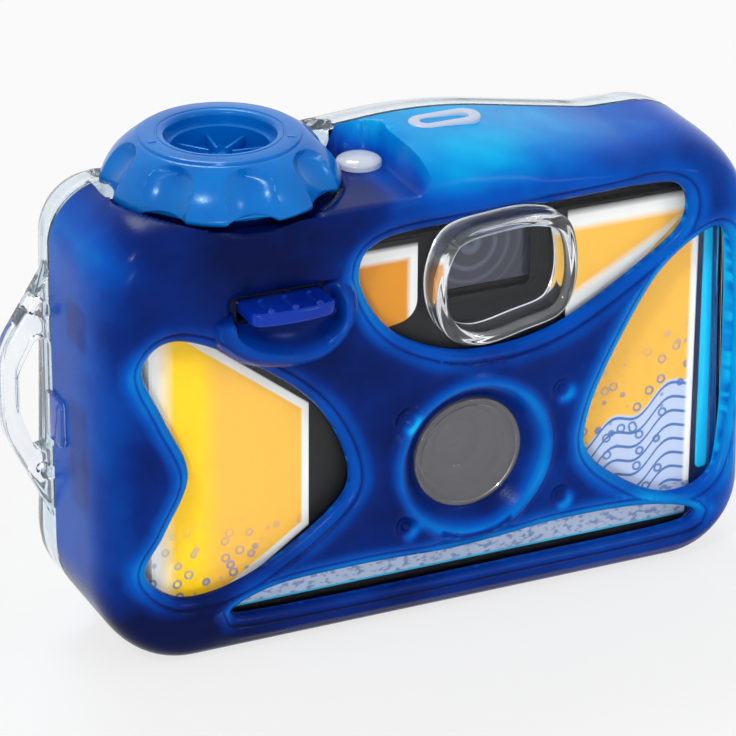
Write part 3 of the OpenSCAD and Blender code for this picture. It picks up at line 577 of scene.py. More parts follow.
@dataclass(frozen=True)
class SmokedLens(Finish):
    """Dark finder lens with painted ring reflections."""

    deep: Colour = paint(48, 50, 62)
    pale: Colour = paint(84, 86, 102)
    centre: Triple = (8.0, -15.0, 70.0)

    def make(self, graph: Graph) -> Material:
        """Painted reflection: pale rings about a point, fading outwards.

        Args:
            graph: a new graph.

        Returns:
            Its material.
        """
        ends = {0: graph.place, 1: tuple(k * MM for k in self.centre)}
        gap = graph.node("VectorMath", ends, operation="DISTANCE").outputs["Value"]
        far = graph.times(gap, 1 / MM)
        # painted ring reflections, a sine of the distance from the centre
        wave = graph.sums("SINE", graph.times(graph.sums("POWER", far, 1.4), 0.85))
        rings = graph.times(graph.scaled(wave, 0.2, 0.9, 0, 1), graph.scaled(far, 3, 11, 0.9, 0.2))
        rough = graph.scaled(graph.noise(4, 2), 0.3, 0.7, 0.04, 0.1)
        graph.plain(Base_Color=graph.blend(rings, self.deep, self.pale), Roughness=rough)
        return graph.material


@dataclass(frozen=True)
class PrintedCard(Finish):
    """Printed card: warm panels with white borders on black, plain waves and bubbles, and a pale base strip.

    Places are millimetres. A slanted edge is the line a x + b z + c = 0, and a border has two ends.
    """

    yellow: Colour = paint(255, 204, 6)
    orange: Colour = paint(240, 182, 70)
    deep: Colour = paint(214, 138, 24)
    white: Colour = paint(236, 236, 232)
    black: Colour = paint(10, 10, 12)
    water: Colour = paint(186, 200, 226)
    blue: Colour = paint(70, 112, 176)
    cyan: Colour = paint(60, 190, 230)
    left_end: float = -14.0
    left_side: float = -23.6
    left_edges: tuple[Triple, ...] = ((0.613, 0.791, -21.0), (0.561, -0.828, 30.8))
    left_border: Pair = (-1.3, 0.2)
    finder_foot: float = 45.0
    finder_edge: Triple = (-0.875, 1.0, -24.0)
    finder_box: Triple = (-4.2, 56.2, 69.4)
    finder_far: Triple = (0.462, -0.887, 37.2)
    finder_gap: Pair = (10.0, 27.0)
    water_line: Triple = (0.45, -1.0, 12.2)
    right_edge: float = 52.6
    base_edge: Triple = (0.561, -0.828, 31.2)
    base_top: float = 14.2
    base_line: Pair = (7.5, 7.9)

    def make(self, graph: Graph) -> Material:
        """Chooses the panel by place: left or right of the lens, round the finder, or the base strip.

        Args:
            graph: a new graph.

        Returns:
            Its material.
        """
        x, _, z = graph.axes()
        past = graph.above(x, self.left_end)
        colour = graph.blend(past, self.left(graph, x, z), self.right(graph, x, z))
        over = graph.above(graph.slope(x, z, self.finder_edge), 0)
        finder = graph.times(graph.times(over, graph.above(z, self.finder_foot)), past)
        colour = graph.blend(finder, colour, self.finder(graph, x, z))
        edge = graph.slope(x, z, self.base_edge)
        low = graph.times(graph.above(z, self.base_top, -0.05), graph.above(edge, 0.5))
        colour = graph.blend(low, colour, self.base(graph, z))
        fibre = graph.noise(0.3, 2)
        rough = graph.scaled(fibre, 0.3, 0.7, 0.34, 0.44)
        graph.plain(Base_Color=colour, Roughness=rough, Specular_IOR_Level=0.3)
        graph.bump(fibre, 0.01, 0.4)
        return graph.material

    def bordered(self, graph: Graph, out: Socket, inside: object, ends: Pair, soft: float) -> Socket:
        """A panel, then a white border, then black, by the distance outwards.

        Args:
            graph: the node graph.
            out: distance outwards from the panel's edge.
            inside: the panel's colour.
            ends: where the border starts and ends.
            soft: half width of the changes.

        Returns:
            The colour.
        """
        colour = graph.blend(graph.above(out, ends[0], soft), inside, self.white)
        return graph.blend(graph.above(out, ends[1], soft), colour, self.black)

    def left(self, graph: Graph, x: Socket, z: Socket) -> Socket:
        """Yellow to orange, bordered along an upright and two slanted edges.

        Args:
            graph: the node graph.
            x, z: the place.

        Returns:
            The colour.
        """
        stops = (
            (0.0, self.white), (0.07, self.white), (0.17, self.yellow),
            (0.3, self.yellow), (0.42, self.orange), (1.0, self.orange),
        )
        warm = graph.ramp(graph.scaled(x, -55, -20, 0, 1), stops)
        out = graph.plus(x, -self.left_side)
        for line in self.left_edges:
            out = graph.most(out, graph.slope(x, z, line))
        bubbles = graph.times(self.bubbles(graph), graph.scaled(z, 14, 26, 0.8, 0))
        return self.bordered(graph, out, graph.blend(bubbles, warm, self.blue), self.left_border, 0.15)

    def right(self, graph: Graph, x: Socket, z: Socket) -> Socket:
        """Orange over a wavy water line, with bubbles above it and ripples below, and a white right edge.

        Args:
            graph: the node graph.
            x, z: the place.

        Returns:
            The colour.
        """
        wave = graph.times(graph.sums("SINE", graph.times(x, 0.55)), 1.4)
        depth = graph.plus(graph.slope(x, z, self.water_line), wave)
        ripple = graph.scaled(graph.sums("SINE", graph.times(depth, 2.2)), -1, 1, 0, 1)
        stops = ((0.0, self.water), (0.86, self.water), (0.95, self.blue), (1.0, self.blue))
        ground = graph.blend(graph.above(depth, 0, 0.2), self.orange, graph.ramp(ripple, stops))
        bubbles = graph.times(self.bubbles(graph), graph.scaled(depth, -14, 0, 0, 0.9))
        panel = graph.blend(bubbles, ground, self.blue)
        return graph.blend(graph.above(x, self.right_edge, 0.3), panel, self.white)

    def finder(self, graph: Graph, x: Socket, z: Socket) -> Socket:
        """Orange panels on both sides of the finder with soft white borders on black.

        Args:
            graph: the node graph.
            x, z: the place.

        Returns:
            The colour.
        """
        side, foot, top = self.finder_box
        upper = graph.plus(z, -top)
        near = graph.most(upper, graph.most(graph.sums("SUBTRACT", foot, z), graph.plus(x, -side)))
        far = graph.most(upper, graph.slope(x, z, self.finder_far))
        middle, start = self.finder_gap
        far = graph.plus(far, graph.scaled(x, start - 0.1, start + 0.1, 40, 0))
        first = self.bordered(graph, near, self.deep, (0.0, 2.4), 0.5)
        second = self.bordered(graph, far, self.orange, (0.0, 3.2), 0.8)
        return graph.blend(graph.above(x, middle), first, second)

    def base(self, graph: Graph, z: Socket) -> Socket:
        """Pale mottled strip over a cyan line and black.

        Args:
            graph: the node graph.
            z: the height.

        Returns:
            The colour.
        """
        spots = graph.scaled(graph.noise(1.6, 3, (1, 1, 1.6)), 0.5, 0.62, 0, 0.7)
        pale = graph.blend(spots, self.water, self.blue)
        dark = graph.blend(graph.above(z, self.base_line[0]), self.black, self.cyan)
        return graph.blend(graph.above(z, self.base_line[1]), dark, pale)

    def bubbles(self, graph: Graph) -> Socket:
        """Thin rings scattered by a cell pattern.

        Args:
            graph: the node graph.

        Returns:
            Their share.
        """
        cells = graph.node("TexVoronoi", {"Scale": 330, "Vector": graph.place}, feature="F1")
        rim = graph.sums("ABSOLUTE", graph.sums("SUBTRACT", cells.outputs["Distance"], 0.24))
        return graph.scaled(rim, 0.04, 0.1, 1, 0)


class Finishes:
    """Every finish on the camera."""

    COVER = FrostedBlue("frosted_blue", "blue_cover")
    CLEAR = ClearPlastic("clear_shell_plastic", "clear_shell")
    REAR = ClearPlastic("clear_rear_wall", "clear_shell", (0.84, 0.92, 0.98, 1.0), 0.06, 1.22, 0.94)
    PANE = ClearPlastic("clear_pane", "clear_shell", (0.97, 0.98, 0.99, 1.0), 0.02, 1.2)
    PORT = ClearPlastic("port_clear", "clear_shell", (0.62, 0.6, 0.65, 1.0), 0.04, 1.6, 0.92)
    MILKY = ClearPlastic("milky_clear", "lens_plastic", (0.74, 0.78, 0.84, 1.0), 0.1, 1.46, 0.25)
    LENS = ClearPlastic("lens_clear", "lens_plastic", (0.9, 0.92, 0.95, 1.0), 0.02, 1.3)
    KNOB = MouldedPlastic(
        "satin_azure", "blue_knob", paint(0, 104, 196), paint(0, 124, 214),
        0.2, 0.5, 0.012, 0.3, tint=(0.6, 0.85, 1.0, 1.0),
    )
    LEVER = MouldedPlastic(
        "deep_blue", "blue_lever", paint(2, 38, 150), paint(4, 54, 178),
        0.2, 0.5, 0.012, 0.35, tint=(0.5, 0.7, 1.0, 1.0),
    )
    SEAL = MouldedPlastic("seal_rubber", "seal", paint(8, 14, 36), paint(14, 22, 50), 0.6, 0.5, 0.02, 0.2)
    BLACK = MouldedPlastic(
        "black_moulding", "black_plastic", paint(9, 9, 11), paint(18, 18, 21), 0.42, 0.6, 0.04, 0.25
    )
    SMOKED = SmokedLens("smoked_lens", "lens_plastic")
    CARD = PrintedCard("printed_card", "label_card")
    WHITE = MouldedPlastic(
        "white_moulding", "white_plastic", paint(222, 222, 220), paint(240, 240, 238), 0.4, 0.5, 0.01
    )
    STEEL = MouldedPlastic(
        "steel_wire", "steel", paint(150, 152, 156), paint(190, 192, 196), 0.28, 0.3, 0.005, metal=1.0
    )
    FILM = MouldedPlastic("film_base", "film", paint(60, 40, 30), paint(88, 60, 44), 0.3, 0.5, 0.005)


class Piece:
    """One visible object, gathered from closed patches."""

    def __init__(self, name: str, body: str, stands_for: str = "") -> None:
        """Starts an empty piece.

        Args:
            name: its name.
            body: the body that it rides on.
            stands_for: the CAD node that it replaces, if any.
        """
        self.name, self.body, self.stands_for = name, body, stands_for
        self.points: list[Array] = []
        self.faces: list[Array] = []
        self.count = 0

    def add(self, points: Array, *faces: Array) -> None:
        """Takes in a patch.

        Args:
            points: its points.
            faces: faces that number them from 0.
        """
        self.faces += [f + self.count for f in faces]
        self.points.append(points.reshape(-1, 3))
        self.count += len(self.points[-1])

    def add_grid(self, points: Array, closed: bool = True, caps: bool = False) -> None:
        """Takes in a grid of points, each cap a fan from the middle of its row.

        Args:
            points: rows of points.
            closed: whether each row joins up.
            caps: whether the first and last rows are closed.
        """
        rows, columns = points.shape[:2]
        patch, parts = points.reshape(-1, 3), [grid_faces(rows, columns, closed)]
        if caps:
            c = np.arange(columns)
            n, last, hub = (c + 1) % columns, (rows - 1) * columns, np.full(columns, rows * columns)
            patch = np.vstack([patch, points[0].mean(0), points[-1].mean(0)])
            parts += [np.stack([hub, n, c], axis=1), np.stack([hub + 1, last + c, last + n], axis=1)]
        self.add(patch, *parts)

    def add_lathe(self, profile: list[Pair], at: Pair, facing: Facing, columns: int = 96) -> None:
        """Takes in a profile of radius and depth turned about an axis.

        Args:
            profile: points of radius and depth. A ring's profile ends where it starts.
            at: the axis in the drawing plane.
            facing: the drawing plane.
            columns: steps round the axis.
        """
        line = np.array(profile, float)
        spokes = circle((0, 0), 1, columns)
        flat = np.array(at) + line[:, None, :1] * spokes[None]
        self.add_grid(facing.place(flat, line[:, 1:]))

    def add_plate(
        self, outer: Array, holes: list[Array], facing: Facing, low: float, high: float,
        edge: float = 0.4, steps: int = 4,
    ) -> None:
        """Takes in a flat plate: each loop carries a quarter round, a wall and a quarter round.

        Args:
            outer: counter-clockwise outline.
            holes: counter-clockwise outlines of holes.
            facing: drawing plane.
            low, high: its two faces along the depth.
            edge: radius of the rounded edges.
            steps: steps in each quarter round.
        """
        t = np.linspace(0, np.pi / 2, steps + 1)
        inset = edge * np.concatenate([1 - np.sin(t), 1 - np.sin(t[::-1])])
        depth = np.concatenate([low + edge * (1 - np.cos(t)), high - edge * (1 - np.cos(t[::-1]))])
        signs = [-1] + [1] * len(holes)
        loops = [outer, *holes]
        rims = [grow(k, s * edge) for k, s in zip(loops, signs)]
        tris = fill_loops(rims)[1]
        start, low_row, high_row = 0, [], []
        patch, parts = [], []
        for loop, sign in zip(loops, signs):
            rows = np.stack([facing.place(grow(loop, sign * i), w) for i, w in zip(inset, depth)])
            parts.append(grid_faces(len(inset), len(loop), True) + start)
            low_row.append(start + np.arange(len(loop)))
            high_row.append(start + (len(inset) - 1) * len(loop) + np.arange(len(loop)))
            patch.append(rows.reshape(-1, 3))
            start += rows.shape[0] * rows.shape[1]
        parts += [np.concatenate(low_row)[tris], np.concatenate(high_row)[tris[:, ::-1]]]
        self.add(np.concatenate(patch), *parts)

    def add_sheet(self, outer: Array, inner: Array, *faces: Array) -> None:
        """Takes in a wall: the same faces on its outer and inner points, joined along every open edge.

        Args:
            outer, inner: matching points of the two sides.
            faces: faces of the outer side.
        """
        count = len(outer)
        sides = np.concatenate([np.stack([f, np.roll(f, -1, 1)], axis=-1).reshape(-1, 2) for f in faces])
        _, first, times = np.unique(np.sort(sides, 1), axis=0, return_index=True, return_counts=True)
        rim = sides[first[times == 1]]
        wall = np.stack([rim[:, 1], rim[:, 0], rim[:, 0] + count, rim[:, 1] + count], axis=1)
        self.add(np.vstack([outer, inner]), *faces, *[f[:, ::-1] + count for f in faces], wall)

    def raw(self) -> Object:
        """Makes the object, with doubles merged and faces turned outwards.

        Returns:
            The object.
        """
        mesh = bpy.data.meshes.new(self.name)
        points = np.concatenate(self.points) * MM
        mesh.from_pydata(points.tolist(), [], [f for part in self.faces for f in part.tolist()])
        work = bmesh.new()
        work.from_mesh(mesh)
        bmesh.ops.remove_doubles(work, verts=work.verts, dist=2e-7)
        bmesh.ops.recalc_face_normals(work, faces=work.faces)
        work.to_mesh(mesh)
        work.free()
        made = bpy.data.objects.new(self.name, mesh)
        bpy.context.scene.collection.objects.link(made)
        return made

    def dress(self, made: Object, finish: Finish, sharp: float = 38.0) -> Object:
        """Shades the object, gives it its finish and lets it ride.

        Args:
            made: the object.
            finish: its finish.
            sharp: angle in degrees past which an edge stays crisp.

        Returns:
            The object.
        """
        mesh = made.data
        mesh.polygons.foreach_set("use_smooth", np.ones(len(mesh.polygons), bool))
        mesh.set_sharp_from_angle(angle=math.radians(sharp))
        mesh.materials.clear()
        mesh.materials.append(finish.material())
        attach(made, self.body)
        if self.stands_for:
            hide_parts(self.stands_for)
        log.info("%s: %d faces, rides on %s", made.name, len(mesh.polygons), self.body)
        return made

    def build(self, finish: Finish, sharp: float = 38.0) -> Object:
        """Makes and dresses the object in one go."""
        return self.dress(self.raw(), finish, sharp)


def carve(target: Object, cutter: Piece) -> None:
    """Cuts a shape out of an object's mesh for good.

    Args:
        target: the object.
        cutter: the other shape.
    """
    tool = cutter.raw()
    change = target.modifiers.new("cut", "BOOLEAN")
    change.operation, change.solver, change.object = "DIFFERENCE", "EXACT", tool
    bpy.context.view_layer.update()
    solid = bpy.data.meshes.new_from_object(target.evaluated_get(bpy.context.evaluated_depsgraph_get()))
    target.modifiers.clear()
    old, target.data = target.data, solid
    bpy.data.meshes.remove(old)
    spare = tool.data
    bpy.data.objects.remove(tool)
    bpy.data.meshes.remove(spare)
    solid.name = target.name


@dataclass(frozen=True)
class HousingForm:
    """The moulded housing's seam outline and rounding, with the same sizes as the part's source."""

    half_w: float = 64.0
    shoulder_z: float = 82.9
    crown_rise: float = 6.4
    crown_x: float = 8.0
    valley_x: float = 41.0
    valley_rise: float = 0.4
    left_rise: float = 1.5
    corner_r: tuple[float, ...] = (17.0, 15.0, 14.0, 22.0, 90.0, 11.0)
    least_r: float = 0.4
    seam_y: float = 4.0
    rear_start_y: float = 4.8
    front_y: float = -21.0
    rear_y: float = 19.0
    edge_inset: float = 7.0
    squareness: float = 0.75
    front_run: Pair = (17.0, 6.0)
    rear_inset: float = 11.0
    rear_run: Pair = (9.0, 1.0)
    arc: int = 16
    edge: int = 72

    def outline(self, inset: float = 0.0) -> Array:
        """Seam outline moved in: each side moves along its corners' bisectors and each radius shrinks alike.

        Args:
            inset: distance inwards.

        Returns:
            Points of x and z, the same number for any inset.
        """
        w, s = self.half_w, self.shoulder_z
        b = np.array([
            (-w, 0), (w, 0), (w, s), (self.valley_x, s + self.valley_rise),
            (self.crown_x, s + self.crown_rise), (-w, s + self.left_rise),
        ])
        u, v = unit(np.roll(b, 1, 0) - b), unit(np.roll(b, -1, 0) - b)
        side = np.sign(-u[:, 0] * v[:, 1] + u[:, 1] * v[:, 0])
        reach = side * inset / np.sin(np.arccos((u * v).sum(1)) / 2)
        radius = np.maximum(np.array(self.corner_r) - side * inset, self.least_r)
        return fillet_loop(np.column_stack([b + unit(u + v) * reach[:, None], radius]), self.arc, self.edge)

    def run(self, z: Array, runs: Pair) -> Array:
        """Length of the straight wall, from its value at the base to its value at the shoulder."""
        return runs[0] + (runs[1] - runs[0]) * np.clip(z / self.shoulder_z, 0, 1)

    def front_rows(self, offset: float, last: float = 90.0, steps: int = 18) -> Array:
        """Rings of the front wall: straight from the seam, then inset and depth follow cos and sin to a power.

        Args:
            offset: distance inside the outer surface.
            last: angle of the last ring in degrees.
            steps: steps in the rounding.

        Returns:
            Rings of points.
        """
        edge = self.outline(offset)
        run = self.run(edge[:, 1], self.front_run)
        straight = [Facing.FRONT.place(edge, self.seam_y - f * run) for f in np.linspace(0, 0.9, 7)]
        angles = np.radians(np.linspace(0, last, steps + 1))
        return np.stack(straight + [self.front_ring(offset, a) for a in angles])

    def front_ring(self, offset: float, angle: float) -> Array:
        """One ring of the front rounding.

        Args:
            offset: distance inside the outer surface.
            angle: angle of the rounding in radians.

        Returns:
            The ring's points.
        """
        ring = self.outline(offset + self.edge_inset * (1 - max(math.cos(angle), 0) ** self.squareness))
        run = self.run(ring[:, 1], self.front_run)
        reach = self.seam_y - self.front_y - run - offset
        return Facing.FRONT.place(ring, self.seam_y - run - reach * math.sin(angle) ** self.squareness)

    def rear_rows(self, offset: float, steps: int = 26) -> Array:
        """Rings of the rear wall: straight from the seam, then inset and depth follow a quarter ellipse.

        Args:
            offset: distance inside the outer surface.
            steps: steps in the rounding.

        Returns:
            Rings of points.
        """
        edge = self.outline(offset)
        run = self.run(edge[:, 1], self.rear_run)
        rows = [Facing.FRONT.place(edge, self.rear_start_y + f * run) for f in (0, 0.5)]
        for angle in np.radians(np.linspace(0, 90, steps + 1)):
            ring = self.outline(offset + self.rear_inset * (1 - math.cos(angle)))
            run = self.run(ring[:, 1], self.rear_run)
            reach = self.rear_y - self.rear_start_y - run - offset
            rows.append(Facing.FRONT.place(ring, self.rear_start_y + run + reach * math.sin(angle)))
        return np.stack(rows)

    def face(self, flat: Array, offset: float = 0.0) -> tuple[Array, Array, Array]:
        """Depth of the front surface over points of x and z, by their distance from the seam outline.

        Args:
            flat: points of x and z.
            offset: distance inside the outer surface.

        Returns:
            The y of the surface, the distance from the outline, and the unit direction inwards.
        """
        signed, gap = nearest(flat, self.outline())
        deep = -signed
        cosine = np.clip(1 - deep / self.edge_inset, 0, 1) ** (1 / self.squareness)
        share = np.sqrt(1 - cosine**2) ** self.squareness
        run = self.run(flat[:, 1], self.front_run)
        inwards = gap / np.maximum(np.linalg.norm(gap, axis=1, keepdims=True), 1e-9)
        return self.seam_y - run - (self.seam_y - self.front_y - run - offset) * share, deep, inwards


FORM = HousingForm()


@dataclass(frozen=True)
class Layout:
    """Places and sizes on the housing that several pieces share."""

    wind: Pair = (-33.2, 0.0)
    platform_z: float = 81.2
    well_r: float = 22.3
    counter: Pair = (-7.6, -2.2)
    counter_floor: float = 82.6
    counter_r: float = 6.0
    lens: Pair = (6.5, 30.7)
    port_r: float = 10.7
    finder: Pair = (10.5, 67.7)
    lever: Pair = (-30.5, 67.5)
    pane_y: float = -18.65
    neck_r: float = 16.8
    neck_h: float = 2.1
    stake: Pair = (9.2, 29.6)
    stake_x: float = 15.5
    stake_z: float = 10.7
    slot_half: float = 9.8
    slot_z: Pair = (64.2, 69.9)
    neck_wall: float = 2.0
    neck_sunk: float = 0.4
    dish_rim: Pair = (2.4, 9.0)
    counter_rim: Pair = (2.0, 4.6)
    open_from: float = 8.0
    climb: float = 16.0
    soft: float = 0.7

    def windows(self) -> list[Array]:
        """Curves round the four windows.

        Returns:
            Outlines of the grip, side, finder and base windows.
        """
        w = FORM.half_w
        grip = [(15, 13.2), (28, 15.3), (43.5, 25), (46.7, 33), (40, 46.5), (26, 57.7), (13.5, 63.3), (7.7, 59),
                (11.5, 49), (16, 37.5), (11.5, 27), (7.7, 19.5)]
        side = [(15.4, 14.4), (8, 17), (4.6, 28), (3.8, 42), (4.8, 58), (8.2, 66.5), (18.9, 60.6), (27, 48.5),
                (33.2, 35), (33.2, 26), (24, 17.8)]
        finder = [(10, -16.9), (24, -14.7), (40, -6), (48.8, 1.3), (46.5, 8.9), (30, 9.4), (10, 8.7),
                  (-10.5, 7.9), (-15.4, 1.8), (-10.5, -8.4), (-1, -14.7)]
        base = [(-40, 8.2), (-20, 7.3), (15, 7.3), (48, 7.7), (53, 10), (42, 12.9), (25, 13.5), (5, 12.3),
                (-15, 12.7), (-32, 12)]
        drawn = [
            [(x - w, z) for x, z in grip], [(w - x, z) for x, z in side],
            [(x, self.finder[1] + z) for x, z in finder], base,
        ]
        return [even_loop(smooth_loop(k), 0.9) for k in drawn]

    def hood(self, by: float = 0.0) -> Array:
        """Curve round the finder hood.

        Args:
            by: distance that it is moved outwards.

        Returns:
            The outline's points.
        """
        drawn = [(-4, -14), (4, -12.8), (12, -10.4), (14.8, -3.2), (13.4, 6.4), (8, 9.4), (-0.5, 9.7),
                 (-9.4, 8), (-13, 1.6), (-13, -5.8), (-10, -11.6)]
        return grow(even_loop(smooth_loop(drawn), 0.8) + np.array(self.finder), by)

    def slot(self, by: float = 0.0) -> Array:
        """Outline of the shutter lever's slot, moved outwards by a distance."""
        x, w = self.lever[0], self.slot_half
        return grow(rounded(rect((x - w, x + w), self.slot_z, 1), 0.6), by)

    def stakes(self) -> Array:
        """Centres of the four staked pins."""
        signs = np.array([(-1, -1), (1, -1), (1, 1), (-1, 1)])
        return np.array(self.stake) + signs * np.array([self.stake_x, self.stake_z])

    def stake_gap(self, flat: Array) -> Array:
        """Distance of points of x and z from the nearest staked pin."""
        return np.min([np.linalg.norm(flat - k, axis=1) for k in self.stakes()], axis=0)

    def sink(self, points: Array, offset: float = 0.0) -> Array:
        """Presses the knob's dish and the counter's well, which is open to the front, into the top.

        The new height is the smooth minimum of the old one and a floor that climbs steeply past the well's rim.

        Args:
            points: points of the housing's wall.
            offset: distance inside the outer surface.

        Returns:
            The moved points.
        """
        x, y, high = points[..., 0], points[..., 1], points[..., 2]
        left = self.wind[0] + self.open_from
        open_side = np.where(x > left, np.maximum(x - self.counter[0], 0), self.counter_r + left - x)
        rim = np.where(y < self.counter[1], open_side, np.hypot(x - self.counter[0], y - self.counter[1]))
        wells = (
            (np.hypot(x - self.wind[0], y - self.wind[1]), self.platform_z, self.well_r, self.dish_rim),
            (rim, self.counter_floor, self.counter_r, self.counter_rim),
        )
        for rho, floor, radius, (inset, width) in wells:
            start = radius - inset
            dish = floor - offset + step((self.climb, start, start + width), rho)
            share = np.clip(0.5 + (dish - high) / (2 * self.soft), 0, 1)
            high = dish + (high - dish) * share - self.soft * share * (1 - share)
        return np.concatenate([points[..., :2], high[..., None]], axis=-1)

    def collar(self, name: str, first: float, last: float) -> Piece:
        """Part of the collar under the knob: a rounded ring profile turned from one angle to another.

        Args:
            name: the piece's name.
            first, last: angles in radians.

        Returns:
            The piece.
        """
        t = np.linspace(first, last, 90)
        low, high = self.platform_z - self.neck_sunk, self.platform_z + self.neck_h
        r, bore = self.neck_r, self.neck_r - self.neck_wall
        profile = np.array([
            (bore, low), (r, low), (r, high - 0.5), (r - 0.5, high), (bore + 0.4, high), (bore, high - 0.4),
        ])
        flat = np.array(self.wind) + profile[None, :, :1] * spokes(t)[:, None]
        ring = Piece(name, "housing")
        ring.add_grid(Facing.TOP.place(flat, np.broadcast_to(profile[:, 1], flat.shape[:2])), caps=True)
        return ring


LAYOUT = Layout()
SHADOWS = (
    fillet_loop([(-55, 4.4, 6), (55, 4.4, 4), (55, 74.9, 5), (-55, 74.9, 3)]),
    fillet_loop(rect((-53, -14), (60, 80), 3)),
)


@dataclass(frozen=True)
class PaintedLight:
    """Painted light and shade on the blue cover, from 0 in painted shade to about 1 in painted light.

    A triple is the term of a step or a bell, apart from the shares on even, left and right edges. Each term
    paints light (positive) or shade (negative) into the cover's colour.
    """

    # Strengths and places of painted light and painted shade.
    dark: float = 0.1
    camera_y: float = 15.5
    depth: Triple = (0.62, 4.8, 13.5)
    rise: Pair = (0.08, 83.0)
    sides: tuple[Triple, ...] = ((0.12, -20, 45), (0.2, 54, 62.5), (0.06, -54, -62.5))
    crown: tuple[Triple, Triple] = ((0.08, 80, 86), (1, -15, 5))
    corner: tuple[Triple, Triple] = ((-0.24, 22, 6), (1, -30, -50))
    knob: tuple[Triple, Triple] = ((-0.12, -33, 20), (1, 76, 12))
    blocks: tuple[Pair, ...] = ((64, 4), (39, 10))
    block_y: Pair = (-8, 4)
    block: float = 0.14
    front: Pair = (-22.6, -14)
    port: Triple = (0.42, 14.4, 1.5)
    pin: Triple = (0.55, 1.9, 0.7)
    rim: Triple = (1, 5.4, 1.2)
    rim_shares: Triple = (0.14, 0.46, 0.2)
    over_base: Triple = (0.4, 4.4, 0.8)
    groove: Triple = (-0.25, 1.9, 0.3)
    tiny: float = 1e-6

    def body(self, place: Array) -> Array:
        """Painted light by place, with the distance from the black camera and the winding chamber as its main
        step.

        The painted light grows upwards and at both sides, and painted shade darkens the low left corner, the
        front under the knob and the left wall where an inner block stands behind it.

        Args:
            place: points of x, y and z.

        Returns:
            The painted light at each point.
        """
        x, y, z = place.T
        along = np.abs(y) - self.camera_y
        across = clearance(place[:, [0, 2]], SHADOWS)
        gap = np.where(across <= 0, along, np.where(along <= 0, across, np.hypot(across, along)))
        # painted shade over the black camera, painted light where it is far behind the cover, brighter upwards
        painted_light = self.dark + step(self.depth, gap) + self.rise[0] * (z / self.rise[1] - 0.5)
        painted_light += sum(step(k, x) for k in self.sides)
        for high, wide in (self.crown, self.corner):
            painted_light += step(high, z) * step(wide, x)
        # painted shade on the front under the knob
        painted_light += bell(self.knob[0], x) * bell(self.knob[1], z) * (y < -10)
        # painted shade on the left wall where inner blocks stand behind it
        deep = ease(1.2, 0.8, np.abs(y - self.block_y[0]) / self.block_y[1]) * (x < -55)
        for middle, half in self.blocks:
            painted_light -= self.block * ease(1.15, 0.85, np.abs(z - middle) / half) * deep
        return painted_light

    def face(self, flat: Array) -> Array:
        """Painted light on the front: round the port, a painted highlight on the lower right side of each pin's
        bowl, along the windows and over the base window.

        Painted shade darkens the groove round each window.

        Args:
            flat: points of x and z.

        Returns:
            The painted light to add at each point.
        """
        # painted light in a ring round the lens port
        painted_light = bell(self.port, np.linalg.norm(flat - LAYOUT.lens, axis=1))
        # painted highlight on the lower right side of each pin's bowl, as if lit from the upper left
        for at in LAYOUT.stakes():
            out = flat - at
            s = np.maximum(np.linalg.norm(out, axis=1), self.tiny)
            painted_light += bell(self.pin, s) * np.clip((out[:, 0] - out[:, 1]) / s / 1.4, 0, 1)
        # painted light along the window edges, stronger to their left and right, and painted shade in the
        # groove
        gaps, ways = zip(*(nearest(flat, k) for k in LAYOUT.windows()))
        gaps, ways = np.abs(gaps), np.array(ways)
        rim = gaps.min(0)
        side = ways[gaps.argmin(0), np.arange(len(flat)), 0] / np.maximum(rim, self.tiny)
        even, left, right = self.rim_shares
        painted_light += step(self.rim, rim) * (even + left * np.clip(-side, 0, 1) + right * np.clip(side, 0, 1))
        up = np.clip(ways[3, :, 1] / np.maximum(gaps[3], self.tiny), 0, 1)
        return painted_light + step(self.over_base, gaps[3]) * up + bell(self.groove, rim)

    def mark(self, made: Object, shift: float = 0.0) -> None:
        """Stores the painted light and shade at each point of an object.

        Args:
            made: a blue piece.
            shift: painted light added everywhere.
        """
        mesh = made.data
        place = np.empty(len(mesh.vertices) * 3)
        mesh.vertices.foreach_get("co", place)
        place = place.reshape(-1, 3) / MM
        front = (place[:, 1] > self.front[0]) * (place[:, 1] < self.front[1])
        # painted light and shade, with more painted light on the front face, stored as the attribute the
        # cover's colour reads
        painted_light = self.body(place) + front * self.face(place[:, [0, 2]]) + shift
        mesh.attributes.new("painted_light", "FLOAT", "POINT").data.foreach_set("value", painted_light.astype(np.float32))


PAINTED_LIGHT = PaintedLight()


